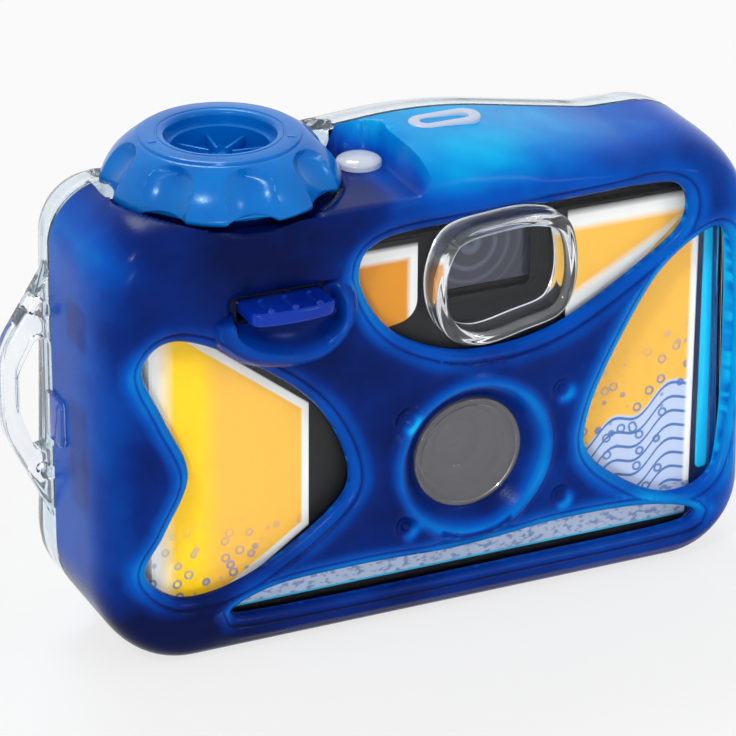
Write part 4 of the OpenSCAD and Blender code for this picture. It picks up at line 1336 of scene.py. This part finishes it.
@dataclass
class BlueCover:
    """Blue front cover: a wall with four bevelled windows, the lens port, the lever's guard and a rib."""

    wall: float = 2.2
    bevel: float = 3.4
    drop: float = 1.7
    swell: Triple = (0.5, 3.4, 2.2)
    groove: Triple = (-0.3, 1.9, 0.3)
    slot_edge: float = 0.9
    hood_edge: float = 0.7
    pin_bowl: Pair = (1.3, 2.8)
    pin_ring: Triple = (0.22, 1.0, 0.28)
    last: float = 60.0
    spread: float = 1.7
    offsets: tuple[float, ...] = (0.22, 0.5, 0.9, 1.3, 1.6, 1.9, 2.2, 2.6, 3.1, 3.6, 4.1, 4.8)
    crest: tuple[Pair, ...] = (
        (-3.0, -2.4), (0.4, -2.3), (3.4, 0.9), (3.8, 1.2), (4.2, 1.35), (4.6, 1.3), (5.0, 1.05),
        (5.6, 0.5), (6.2, 0.1), (6.8, 0.0), (8, 0.2), (11, 0),
    )
    port_rings: tuple[float, ...] = (15.9, 16.3, 16.7, 17.1, 17.6, 18.3, 19.2, 20.5, 23)
    stake_rings: tuple[float, ...] = (0.35, 0.7, 0.85, 1.0, 1.15, 1.3, 1.6, 1.9, 2.2, 2.5, 2.8, 3.4)
    clear_of_pin: float = 4.2
    rib_x: Pair = (55.7, 58.1)
    rib_z: Pair = (16.0, 65.0)
    rib_y: Pair = (-15.2, -14.6)
    guard_path: tuple[Pair, ...] = (
        (-12.6, 2.2), (-11.8, 0), (-11, -3.3), (-8.6, -6), (-4.3, -8.3), (2.3, -9.6), (8, -8.4),
        (11.8, -4.4), (12.3, 0.3), (10.8, 4.4), (9.4, 5.6),
    )
    guard_drop: float = 1.1
    guard_high: float = 3.2
    guard_bowl: float = 4.6
    guard_lip: Triple = (-1.6, -1.1, 1.2)
    holes: list[Array] = field(default_factory=list)

    def relief(self, flat: Array) -> Array:
        """Height of the face over its plain surface.

        A quarter ellipse falls to each window's edge, with a fine groove and a soft swell. The lens port has
        a cone that climbs to a round crest, and each staked pin is a bowl with a fine ring.

        Args:
            flat: points of x and z.

        Returns:
            Heights, outwards positive.
        """
        near = clearance(flat, self.holes[:4])
        high = bell(self.swell, near) + bell(self.groove, near) - ledge(near, self.bevel, self.drop)
        for hole, edge in zip(self.holes[4:6], (self.slot_edge, self.hood_edge)):
            high = high - ledge(distance(flat, hole), edge, edge)
        rho = np.linalg.norm(flat - LAYOUT.lens, axis=1)
        high = high + np.interp(rho - LAYOUT.port_r, *np.array(self.crest).T)
        deep, radius = self.pin_bowl
        for at in LAYOUT.stakes():
            s = np.linalg.norm(flat - at, axis=1)
            high = high - deep * np.clip(1 - (s / radius) ** 2, 0, 1) ** 1.4 + bell(self.pin_ring, s)
        return high

    def face_points(self, ring: Array) -> Array:
        """Points for the face: loops round every hole, circles round the port and pins, and an even fill.

        Args:
            ring: the face's outer boundary.

        Returns:
            Points of x and z.
        """
        found = []
        for number, hole in enumerate(self.holes):
            others = [k for n, k in enumerate(self.holes) if n != number]
            for off in self.offsets:
                moved = grow(hole, off)
                keep = distance(moved, hole) > off - 0.03
                keep &= clearance(moved, others) > off - 0.01
                found.append(moved[keep])
        wide = np.concatenate([circle(LAYOUT.lens, r, 90) for r in self.port_rings])
        found.append(wide[LAYOUT.stake_gap(wide) > self.clear_of_pin - 0.3])
        for at in LAYOUT.stakes():
            found += [circle(at, r, 28) for r in self.stake_rings] + [at[None]]
        low, high = ring.min(0), ring.max(0)
        rows = np.arange(low[1], high[1], self.spread * 0.866)
        u, v = np.meshgrid(np.arange(low[0], high[0], self.spread), rows)
        u = u + np.where(np.arange(len(v))[:, None] % 2 == 1, self.spread / 2, 0)
        fill = np.stack([u.ravel(), v.ravel()], axis=1)
        fill = fill[clearance(fill, self.holes) > self.offsets[-1] + 0.9]
        fill = fill[np.linalg.norm(fill - LAYOUT.lens, axis=1) > self.port_rings[-1] + 1]
        fill = fill[LAYOUT.stake_gap(fill) > self.clear_of_pin]
        points = np.concatenate(found + [fill])
        points = points[distance(points, ring) < -0.5]
        return points[clearance(points, self.holes) > 0.1]

    def dress_with_painted_light(self, piece: Piece, shift: float = 0.0, sharp: float = 38.0) -> None:
        """Makes a blue piece, stores its painted light and shade, and dresses it.

        Args:
            piece: the piece.
            shift: painted light added everywhere.
            sharp: angle in degrees past which an edge stays crisp.
        """
        made = piece.raw()
        PAINTED_LIGHT.mark(made, shift)
        piece.dress(made, Finishes.COVER, sharp)

    def build(self) -> None:
        """Builds the cover's wall with its holes, the collar, the guard and the rib."""
        port = circle(LAYOUT.lens, LAYOUT.port_r, 110)
        self.holes = LAYOUT.windows() + [LAYOUT.slot(), LAYOUT.hood(0.35), port]
        outer, inner = FORM.front_rows(0, self.last), FORM.front_rows(self.wall, self.last)
        rows, count = outer.shape[:2]
        ring = outer[-1][:, [0, 2]]
        flat, tris = fill_loops([ring, *self.holes], self.face_points(ring))
        y, deep, inwards = FORM.face(flat)
        y_in = FORM.face(flat, self.wall)[0]
        start = FORM.edge_inset * (1 - math.cos(math.radians(self.last)) ** FORM.squareness)
        draw = np.clip((FORM.edge_inset - deep) / (FORM.edge_inset - start), 0, 1)[:, None]
        front = Facing.FRONT.place(flat, y - self.relief(flat))
        back = Facing.FRONT.place(flat + self.wall * draw * inwards, y_in)
        index = (rows - 1) * count + np.arange(len(flat))
        cover = Piece("cover_wall", "housing", "front_cover")
        cover.add_sheet(
            LAYOUT.sink(np.vstack([outer.reshape(-1, 3), front[count:]])),
            LAYOUT.sink(np.vstack([inner.reshape(-1, 3), back[count:]]), self.wall),
            grid_faces(rows, count, True), index[tris],
        )
        self.dress_with_painted_light(cover, sharp=50)
        self.collar()
        self.guard()
        self.inner_rib()

    def inner_rib(self) -> None:
        """Builds the upright rib inside the right wall, a thin plate with extra painted light so that it shows
        bright through the side window.
        """
        rib = Piece("cover_inner_rib", "housing")
        outer = rounded(rect(self.rib_x, self.rib_z, 0.6), 0.8)
        rib.add_plate(outer, [], Facing.FRONT, *self.rib_y, 0.2)
        # 0.6 more painted light, so the rib reads bright cyan behind the side window
        self.dress_with_painted_light(rib, 0.6)

    def collar(self) -> None:
        """Builds the part of the collar under the knob that is in front of the seam."""
        half = math.asin(FORM.seam_y / (LAYOUT.neck_r - 1))
        self.dress_with_painted_light(LAYOUT.collar("cover_collar", math.pi - half, 2 * math.pi + half))

    def guard(self) -> None:
        """Builds the lever's guard: a bowl that climbs to a rounded rim along an open curve.

        The bowl is narrow where the curve is upright, and the rim gets low at both ends.
        """
        steps, places = 12, len(self.guard_path)
        path = smooth_loop(self.guard_path, steps)[steps : steps * (places - 2) + 1]
        path = path + np.array([LAYOUT.lever[0], LAYOUT.lever[1] - self.guard_drop])
        along = unit(np.gradient(path, axis=0))
        out = np.stack([along[:, 1], -along[:, 0]], axis=1)
        s = np.linspace(0, 1, len(path))
        tall = self.guard_high * np.sqrt(np.clip(np.minimum(s / 0.03, (1 - s) / 0.12), 0.04, 1))
        t, down = np.linspace(0, 1, 14), np.arange(1, 9) / 8
        turn = np.sin(np.linspace(0, np.pi / 2, 8)[1:])
        inner, crest, outer = self.guard_lip
        rim = np.concatenate([inner + (crest - inner) * turn, crest + (outer - crest) * down, [1.5, 2.0]])
        bowl = inner - self.guard_bowl * (1 - t) * np.clip(np.abs(out[:, 1:]), 0.2, 1)
        across = np.hstack([bowl, np.broadcast_to(rim, (len(path), len(rim)))])
        rise = np.concatenate([-0.1 + 1.02 * t**1.6, 0.92 + 0.08 * turn, 1.0 - 0.62 * down**1.5, [0.1, -0.15]])
        flat = path[:, None] + out[:, None] * across[..., None]
        lip = Facing.FRONT.place(flat, FORM.front_y - tall[:, None] * rise[None])
        foot = Facing.FRONT.place(flat[:, ::-1], np.full(flat.shape[:2], FORM.front_y + 0.9))
        guard = Piece("cover_lever_guard", "housing")
        guard.add_grid(np.concatenate([lip, foot], axis=1), caps=True)
        # a little more painted light on the guard
        self.dress_with_painted_light(guard, 0.04, 60)


def oval(at: Pair, long: float, wide: float) -> Array:
    """Outline of a bar with round ends: a rectangle whose corner radius is nearly half its width.

    Args:
        at: centre.
        long, wide: its two sizes.

    Returns:
        The outline's points, counter-clockwise.
    """
    x, y, r = long / 2, wide / 2, min(long, wide) / 2 - 0.01
    corners = rect((at[0] - x, at[0] + x), (at[1] - y, at[1] + y), r)
    return rounded(corners, 0.35, 16)


def shell_wall(piece: Piece, outer: Array, inner: Array) -> None:
    """Takes in a wall made of rings whose last ring is closed by a flat fan.

    Args:
        piece: the piece.
        outer, inner: rings of the two sides.
    """
    rows, count = outer.shape[:2]
    c = np.arange(count)
    last = (rows - 1) * count
    fan = np.stack([np.full(count, last + count), last + c, last + (c + 1) % count], axis=1)
    sides = [np.vstack([k.reshape(-1, 3), k[-1].mean(0)]) for k in (outer, inner)]
    piece.add_sheet(sides[0], sides[1], grid_faces(rows, count, True), fan)


@dataclass
class WindowShell:
    """Clear shell behind the cover: the panes, the lens port's disc, the finder hood and the oval boss."""

    off: float = 2.35
    wall: float = 1.6
    hood_out: float = 3.4
    hood_wall: float = 2.6
    disc_r: float = 10.55
    disc_rise: float = 0.8
    disc_rim: tuple[Pair, ...] = (
        (0, 0.3), (0.1, 0.1), (0.3, 0), (0.75, 0), (0.9, 0.18), (1.15, 0.18), (1.3, 0), (3, 0),
    )
    slot_room: float = 0.5
    slot_y: Pair = (-30.0, -8.0)
    lap: float = 0.02
    boss: Pair = (9.0, -2.4)
    boss_top: float = 88.95
    boss_high: float = 6.0
    boss_size: Pair = (13.8, 6.4)
    boss_hole: Pair = (9.2, 2.4)

    def build(self) -> None:
        """Builds the panes and the pieces that stand on them."""
        panes = Piece("window_panes", "housing", "window_shell")
        shell_wall(panes, *(LAYOUT.sink(FORM.front_rows(k), k) for k in (self.off, self.off + self.wall)))
        made = panes.raw()
        slot = Piece("slot_cut", "housing")
        slot.add_plate(LAYOUT.slot(self.slot_room), [], Facing.FRONT, *self.slot_y, 0.05, 1)
        carve(made, slot)
        panes.dress(made, Finishes.PANE)
        self.port_disc()
        self.hood()
        self.oval_boss()

    def port_disc(self) -> None:
        """Builds the lens port's disc: a turned profile with a rounded rim and a fine groove inside it."""
        r, back, front = self.disc_r, LAYOUT.pane_y - self.lap, LAYOUT.pane_y - self.disc_rise
        rim = [(r - inset, front + deep) for inset, deep in self.disc_rim]
        disc = Piece("lens_port_disc", "housing")
        disc.add_lathe([(0, back), (r, back), *rim, (0, front)], LAYOUT.lens, Facing.FRONT, 128)
        disc.build(Finishes.PORT)

    def hood(self) -> None:
        """Builds the finder hood: a ring plate with rounded edges round the finder."""
        outer = LAYOUT.hood()
        hood = Piece("finder_hood", "housing")
        ends = FORM.front_y - self.hood_out, LAYOUT.pane_y - self.lap
        hood.add_plate(outer, [grow(outer, -self.hood_wall)], Facing.FRONT, *ends, 1.0, 6)
        hood.build(Finishes.CLEAR, 60)

    def oval_boss(self) -> None:
        """Builds the oval boss on top: a ring plate that stands just above the cover."""
        boss = Piece("oval_boss", "housing")
        outer, hole = oval(self.boss, *self.boss_size), oval(self.boss, *self.boss_hole)
        boss.add_plate(outer, [hole], Facing.TOP, self.boss_top - self.boss_high, self.boss_top, 0.5, 5)
        boss.build(Finishes.MILKY, 60)


@dataclass
class RearShell:
    """Clear rear half: the wall with the knob's well, the handle, the eyepiece and the snap tabs."""

    wall: float = 2.2
    handle_back: float = 9.3
    handle_edge: tuple[Triple, ...] = ((3, 73.3, 1.5), (-8.6, 55.3, 10), (-8.6, 39.5, 14), (3, 15.4, 1.5))
    handle_gaps: tuple[tuple[Triple, ...], ...] = (
        ((-0.2, 35.2, 1.2), (-0.2, 56.2, 1.2), (-2.4, 56.4, 1.6), (-5.6, 50.5, 5), (-5.6, 42.5, 8),
         (-2.8, 34.4, 1.4)),
        ((-0.2, 60, 0.8), (-0.2, 65.6, 0.8), (-3, 60.4, 0.8)),
        ((-0.2, 31.4, 0.8), (-2.5, 30.9, 0.8), (-0.2, 26, 0.8)),
    )
    eyepiece: Pair = (10.5, 65.7)
    eyepiece_half: Pair = (10.0, 8.0)
    eyepiece_wall: float = 3.0
    tab_y: Pair = (-2.0, 5.8)
    tab_z: Pair = (37.5, 46.5)
    tab_thick: float = 0.9
    tab_sunk: float = 0.1

    def build(self) -> None:
        """Builds the rear wall and what stands on it."""
        shell = Piece("rear_wall", "housing", "rear_shell")
        shell_wall(shell, *(LAYOUT.sink(FORM.rear_rows(k), k) for k in (0.0, self.wall)))
        shell.build(Finishes.REAR)
        self.handle()
        self.fittings()

    def handle(self) -> None:
        """Builds the handle: a flat plate with three gaps, drawn from the housing's left side."""
        outer, *gaps = (
            rounded([(x - FORM.half_w, z, r) for x, z, r in line], 0.4, arc)
            for line, arc in zip((self.handle_edge, *self.handle_gaps), (12, 6, 6, 6))
        )
        handle = Piece("carry_handle", "housing")
        handle.add_plate(outer, gaps, Facing.FRONT, FORM.rear_start_y, self.handle_back, 0.7, 4)
        handle.build(Finishes.CLEAR, 60)

    def fittings(self) -> None:
        """Builds the eyepiece rim, the two snap tabs and the rear part of the collar under the knob."""
        (x, z), (w, h) = self.eyepiece, self.eyepiece_half
        rim = Piece("eyepiece_rim", "housing")
        outer = rounded(rect((x - w, x + w), (z - h, z + h), 4), 0.6)
        hole = grow(outer, -self.eyepiece_wall)
        rim.add_plate(outer, [hole], Facing.FRONT, FORM.rear_y + 0.02, FORM.rear_y + 1.2, 0.4)
        rim.build(Finishes.CLEAR, 60)
        tabs = Piece("snap_tabs", "housing")
        outer = rounded(rect(self.tab_y, self.tab_z, 1.2), 0.5)
        for low in (FORM.half_w - self.tab_sunk, self.tab_sunk - FORM.half_w - self.tab_thick):
            tabs.add_plate(outer, [], Facing.SIDE, low, low + self.tab_thick, 0.3)
        tabs.build(Finishes.CLEAR, 60)
        half = math.asin(FORM.rear_start_y / (LAYOUT.neck_r - 1))
        LAYOUT.collar("rear_collar", half, math.pi - half).build(Finishes.CLEAR)


@dataclass
class WindKnob:
    """Fluted winding knob with a ribbed recess."""

    base: float = 82.8
    top: float = 92.2
    radius: float = 21.2
    flank: float = 14.9
    hole: float = 9.8
    depth: float = 6.0
    seat: float = 82.1
    flutes: int = 8
    first: float = -7.0
    cut: float = 1.8
    arch: Triple = (4.6, 0.7, 4.2)
    columns: int = 384
    recess: tuple[Pair, ...] = ((-0.8, 0), (-0.3, 0.15), (-0.05, 0.5), (0, 1))
    lip: tuple[Pair, ...] = (
        (0, -0.9), (0.1, -0.45), (0.4, -0.12), (0.8, 0), (1.2, 0), (1.35, -0.16), (1.6, -0.16), (1.75, 0),
    )
    shoulder: tuple[Pair, ...] = ((-0.9, 0), (-0.65, -0.1), (-0.55, -0.55))
    foot: tuple[Pair, ...] = ((0, 0.9), (-0.2, 0.45), (-0.8, 0), (-3, 0), (-3.4, 0.4), (-3.7, 1.6), (-5, 2.6))
    ribs: int = 8
    ticks: Pair = (179.0, 326.0)

    def lines(self) -> tuple[list[Pair], Array, list[Pair]]:
        """The profile's three stretches: recess and top, flank, and underside.

        The flank's radius and height are means of a straight line and a quarter ellipse.

        Returns:
            Points of radius and height.
        """
        top, hole, floor, low = self.top, self.hole, self.top - self.depth, self.base + 1.2
        inside = [(0, floor), (4, floor)]
        for line, radius, height in (
            (self.recess, hole, floor), (self.lip, hole, top), (self.shoulder, self.flank, top),
        ):
            inside += [(radius + r, height + z) for r, z in line]
        t = np.linspace(0, 1, 34)
        share = (t + np.sin(t * np.pi / 2)) / 2
        fall = (1 - t + np.cos(t * np.pi / 2)) / 2
        reach = self.flank + (self.radius - self.flank) * share
        side = np.stack([reach, low + (top - 0.6 - low) * fall], axis=1)
        bore, roof, ceiling = hole + 1.8, self.base + self.foot[-1][1], floor - 2
        under = [(self.radius + r, self.base + z) for r, z in self.foot]
        under += [(bore, roof), (bore, ceiling), (5.2, ceiling), (5.2, self.seat), (0, self.seat)]
        return inside, side, under

    def build(self) -> None:
        """Builds the knob: its profile turned about the axis, with arched flutes pressed into the flank."""
        inside, side, under = self.lines()
        profile = np.concatenate([np.array(inside), side, np.array(under)])
        angle = np.arange(self.columns) * 2 * np.pi / self.columns
        turn = 2 * np.pi / self.flutes
        off = np.abs((angle - math.radians(self.first) + turn / 2) % turn - turn / 2)
        first = len(inside)
        last = first + len(side) + 3
        skin = profile[first:last]
        slope = unit(np.gradient(skin, axis=0))
        run = np.concatenate([[0], np.cumsum(np.linalg.norm(np.diff(skin, axis=0), axis=1))])
        widest, start, high = self.arch
        half = widest * np.sqrt(1 - np.clip(1 - (run - start) / high, 0, 1) ** 2) * (run > start)
        u = skin[:, :1] * off[None]
        dip = self.cut * np.clip(1 - (u / np.maximum(half, 1e-3)[:, None]) ** 2, 0, 1) ** 0.8
        reach = np.repeat(profile[:, :1], self.columns, axis=1)
        height = np.repeat(profile[:, 1:], self.columns, axis=1)
        reach[first:last] += dip * slope[:, 1:]
        height[first:last] -= dip * slope[:, :1]
        flat = np.array(LAYOUT.wind) + reach[..., None] * spokes(angle)[None]
        knob = Piece("winding_knob", "winder", "wind_knob")
        knob.add_grid(Facing.TOP.place(flat, height))
        self.dress_recess(knob, self.top - self.depth)
        knob.build(Finishes.KNOB, 32)

    def dress_recess(self, knob: Piece, floor: float) -> None:
        """Adds the recess's hub, its step and its radial ribs, and two ticks on the flat ring.

        Args:
            knob: the piece.
            floor: height of the recess's floor.
        """
        top, low, wall = self.top, floor - 0.3, self.hole + 0.2
        hub = [(0, low), (2.6, low), (2.6, floor + 0.9), (2.3, floor + 1.2), (0, floor + 1.2)]
        knob.add_lathe(hub, LAYOUT.wind, Facing.TOP, 48)
        shelf = [(8.7, low), (wall, low), (wall, top - 2.2), (9.0, top - 2.2), (8.7, top - 2.5), (8.7, low)]
        knob.add_lathe(shelf, LAYOUT.wind, Facing.TOP, 96)
        for angle in np.radians(np.arange(self.ribs) * 360 / self.ribs + self.first):
            self.bar(knob, angle, (2.2, 8.9), 0.3, (floor - 0.2, floor + 2.2))
        for angle in np.radians(self.ticks):
            self.bar(knob, angle, (self.hole + 2.2, self.flank - 1.4), 0.35, (top - 0.2, top + 0.18))

    def bar(self, knob: Piece, angle: float, span: Pair, half: float, ends: Pair) -> None:
        """Adds a radial bar: a rectangle turned about the axis, with rounded edges.

        Args:
            knob: the piece.
            angle: its direction in radians.
            span: its two ends along the radius.
            half: half its width.
            ends: its foot and top.
        """
        c, s = math.cos(angle), math.sin(angle)
        flat = np.array(rect(span, (-half, half), 0.15))
        flat[:, :2] = flat[:, :2] @ np.array([[c, s], [-s, c]]) + np.array(LAYOUT.wind)
        knob.add_plate(fillet_loop(flat, 3), [], Facing.TOP, *ends, 0.12, 2)


@dataclass
class ShutterLever:
    """Shutter lever: a rounded blade with three ridges and a tail behind the cover."""

    thick: float = 2.6
    half: float = 8.0
    tip: Pair = (-28.0, -26.4)
    back: float = -13.8
    tail_half: float = 7.0
    tail_front: float = -16.0
    tail_z: Pair = (-2.2, 0.7)
    ridge: float = 0.5
    ridge_end: Triple = (0.32, 0.78, 0.16)
    ridge_y: Pair = (-24.0, 2.9)
    pitch: float = 4.57

    def build(self) -> None:
        """Builds the blade, its ridges and its tail."""
        (x, z), w, up = LAYOUT.lever, self.half, self.thick / 2
        tip, side = self.tip
        outline = [(x - w, side, 2.2), (x, tip, 30), (x + w, side, 2.2)]
        outline += [(x + w, self.back, 1.4), (x - w, self.back, 1.4)]
        lever = Piece("shutter_lever_blade", "lever", "shutter_lever")
        lever.add_plate(rounded(outline, 0.5), [], Facing.TOP, z - up, z + up, 0.8, 6)
        tail = fillet_loop(rect((x - self.tail_half, x + self.tail_half), (self.tail_front, self.back), 0.6))
        lever.add_plate(tail, [], Facing.TOP, z + self.tail_z[0], z + self.tail_z[1], 0.3)
        for place in (-1, 0, 1):
            self.rib(lever, x + place * self.pitch, z + up)
        lever.build(Finishes.LEVER, 60)

    def rib(self, lever: Piece, x: float, top: float) -> None:
        """Adds one ridge: a round bar along Y, half sunk, whose radius swells to a knob at both ends.

        Args:
            lever: the piece.
            x: its place across the lever.
            top: height of the lever's upper face.
        """
        s = np.linspace(-1, 1, 41)
        middle, reach = self.ridge_y
        swell = self.ridge + bell(self.ridge_end, np.abs(s))
        radius = swell * np.sqrt(np.clip(1 - np.clip((np.abs(s) - 0.8) / 0.2, 0, 1) ** 2, 0, 1))
        flat = np.array([x, top - 0.1]) + radius[:, None, None] * circle((0, 0), 1, 20)[None]
        rows = Facing.FRONT.place(flat, (middle + s * reach)[:, None])
        lever.add_grid(rows, caps=True)


@dataclass
class CounterDome:
    """Domed lens over the frame counter."""

    radius: float = 4.1
    rise: float = 1.9

    def build(self) -> None:
        """Builds the lens: a turned profile whose top is a quarter ellipse."""
        z = LAYOUT.counter_floor
        t = np.linspace(np.pi / 2, 0, 16)
        dome = np.stack([self.radius * np.sin(t), z + 0.7 + (self.rise - 0.7) * np.cos(t)], axis=1)
        lens = Piece("counter_dome", "housing", "counter_lens")
        lens.add_lathe([(0, z + 0.02), (self.radius, z + 0.02), *dome.tolist()], LAYOUT.counter, Facing.TOP, 72)
        lens.build(Finishes.MILKY)


@dataclass
class InnerCamera:
    """The inner camera: its pieces keep their CAD shapes, and card folds and a finder bezel are added."""

    fold: tuple[Pair, ...] = ((53.1, -15.83), (53.8, -15.8), (54.3, -15.2), (55.25, -13.5), (55.33, -12.7))
    fold_ends: tuple[Triple, ...] = ((1, 9.4, 68.9), (-1, 9.4, 61.5))
    fold_thick: float = 0.1
    bezel_x: Pair = (-8.4, 8.6)
    bezel_z: Pair = (-6.8, 5.2)
    bezel_y: Pair = (-16.95, -16.35)
    bezel_room: float = 2.2

    def folds(self) -> None:
        """Builds the card's folds over the front corners: a bent line carried upwards, and its inner copy."""
        line = np.array(self.fold)
        folds = Piece("card_folds", "housing")
        for side, low, high in self.fold_ends:
            z = np.linspace(low, high, 12)
            rows = np.stack([np.column_stack([line * (side, 1), np.full(len(line), k)]) for k in z])
            faces = grid_faces(len(z), len(line), False)
            shift = np.array([-self.fold_thick * side, self.fold_thick, 0.0])
            folds.add_sheet(rows.reshape(-1, 3), rows.reshape(-1, 3) + shift, faces)
        folds.build(Finishes.CARD)

    def bezel(self) -> None:
        """Builds the black plate inside the finder hood, with a rounded opening in front of the lens."""
        x, z = LAYOUT.finder
        wide, tall = ([at + k for k in ends] for at, ends in ((x, self.bezel_x), (z, self.bezel_z)))
        hole = rounded(rect(wide, tall, 1.2), 0.6, 5)
        plate = Piece("finder_bezel", "housing")
        plate.add_plate(LAYOUT.hood(-self.bezel_room), [hole], Facing.FRONT, *self.bezel_y, 0.15, 2)
        plate.build(Finishes.BLACK)

    def dress(self) -> None:
        """Gives every kept CAD node its finish."""
        groups = {
            Finishes.BLACK: (
                "camera_frame", "camera_front", "camera_back", "lens_barrel", "lens_retainer", "shutter_blade",
                "drive_lever", "release_slide", "thumbwheel", "supply_spool", "cassette_spool", "knob_shaft",
            ),
            Finishes.SEAL: ("housing_seal", "knob_seal", "lever_seal"),
            Finishes.STEEL: ("lever_pin", "lever_spring", "cassette_shell"),
            Finishes.WHITE: ("counter_disc", "film_sprocket"),
            Finishes.LENS: ("taking_lens", "finder_rear_lens"),
            Finishes.SMOKED: ("finder_front_lens",),
            Finishes.FILM: ("film_strip", "film_roll"),
            Finishes.CARD: ("label_wrap",),
            Finishes.KNOB: ("cassette_caps",),
        }
        for finish, names in groups.items():
            for name in names:
                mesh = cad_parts[name].data
                mesh.materials.clear()
                mesh.materials.append(finish.material())
                log.info("%s: CAD shape, %s", name, finish.name)


@dataclass
class Studio:
    """Pale floor, soft lamps, white surround and the photograph's camera."""

    eye: Triple = (-0.3101, -0.6555, 0.3786)
    aim: Triple = (-0.00447, 0.0, 0.0413)
    lens: float = 215.2
    roll: float = 0.4
    lamps: tuple[tuple[Triple, float, float], ...] = (
        ((-0.7, -0.7, 1.0), 0.16, 4.3),
        ((0.7, -1.0, 0.8), 0.16, 1.6),
        ((-0.5, -1.05, 0.08), 0.14, 1.5),
        ((0.1, 0.7, 1.1), 0.4, 4.6),
    )

    def build(self) -> None:
        """Builds the camera, the lamps, the floor and the world."""
        scene = bpy.context.scene
        scene.view_settings.view_transform = "Standard"
        self.camera(scene)
        for number, (place, size, power) in enumerate(self.lamps):
            data = bpy.data.lights.new(f"soft_lamp_{number}", "AREA")
            data.shape, data.size, data.energy = "DISK", size, power
            lamp = bpy.data.objects.new(data.name, data)
            lamp.location = place
            lamp.rotation_mode = "QUATERNION"
            lamp.rotation_quaternion = (Vector((0, 0, 0.04)) - Vector(place)).to_track_quat("-Z", "Y")
            scene.collection.objects.link(lamp)
        self.floor(scene)
        self.surround(scene)

    def camera(self, scene: Scene) -> None:
        """Puts the camera at the photograph's view, rolled about its own axis.

        Args:
            scene: the scene.
        """
        data = bpy.data.cameras.new("photo_view")
        data.sensor_width, data.lens, data.clip_end = 36.0, self.lens, 20.0
        seen = bpy.data.objects.new("photo_view", data)
        seen.location = self.eye
        seen.rotation_mode = "QUATERNION"
        aim = (Vector(self.aim) - Vector(self.eye)).to_track_quat("-Z", "Y")
        seen.rotation_quaternion = aim @ Quaternion((0, 0, 1), math.radians(self.roll))
        scene.collection.objects.link(seen)
        scene.camera = seen

    def seen_directly(self, tree: bpy.types.NodeTree) -> Socket:
        """Node value that is 1 for rays from the eye, also by mirror or glass, and 0 for light.

        Args:
            tree: the node tree to add it to.

        Returns:
            The value.
        """
        path = tree.nodes.new("ShaderNodeLightPath")
        found = path.outputs["Is Camera Ray"]
        for name in ("Is Glossy Ray", "Is Transmission Ray"):
            most = tree.nodes.new("ShaderNodeMath")
            most.operation = "MAXIMUM"
            tree.links.new(found, most.inputs[0])
            tree.links.new(path.outputs[name], most.inputs[1])
            found = most.outputs[0]
        return found

    def floor(self, scene: Scene) -> None:
        """Builds a wide white floor that shows mostly as white and keeps a soft shadow.

        Args:
            scene: the scene.
        """
        mesh = bpy.data.meshes.new("floor")
        mesh.from_pydata([(-4, -4, 0), (4, -4, 0), (4, 4, 0), (-4, 4, 0)], [], [(0, 1, 2, 3)])
        made = bpy.data.objects.new("floor", mesh)
        scene.collection.objects.link(made)
        graph = Graph("pale_floor")
        graph.plain(Base_Color=(0.86, 0.86, 0.86, 1), Roughness=0.9)
        share = graph.times(self.seen_directly(graph.tree), 0.75)
        graph.mix_out(share, graph.node("Emission"))
        mesh.materials.append(graph.material)

    def surround(self, scene: Scene) -> None:
        """Makes the world white to the eye and a soft half-level light.

        Args:
            scene: the scene.
        """
        world = bpy.data.worlds.new("white_surround")
        world.use_nodes = True
        tree = world.node_tree
        level = tree.nodes.new("ShaderNodeMapRange")
        level.inputs["To Min"].default_value, level.inputs["To Max"].default_value = 0.5, 1.0
        tree.links.new(self.seen_directly(tree), level.inputs["Value"])
        back = tree.nodes["Background"]
        back.inputs["Color"].default_value = (1, 1, 1, 1)
        tree.links.new(level.outputs["Result"], back.inputs["Strength"])
        scene.world = world


def main() -> None:
    """Builds the studio and every sub-assembly."""
    logging.basicConfig(level=logging.INFO, format="%(message)s")
    Studio().build()
    BlueCover().build()
    WindowShell().build()
    RearShell().build()
    WindKnob().build()
    ShutterLever().build()
    CounterDome().build()
    inner = InnerCamera()
    inner.folds()
    inner.bezel()
    inner.dress()


if __name__ == "__main__":
    main()
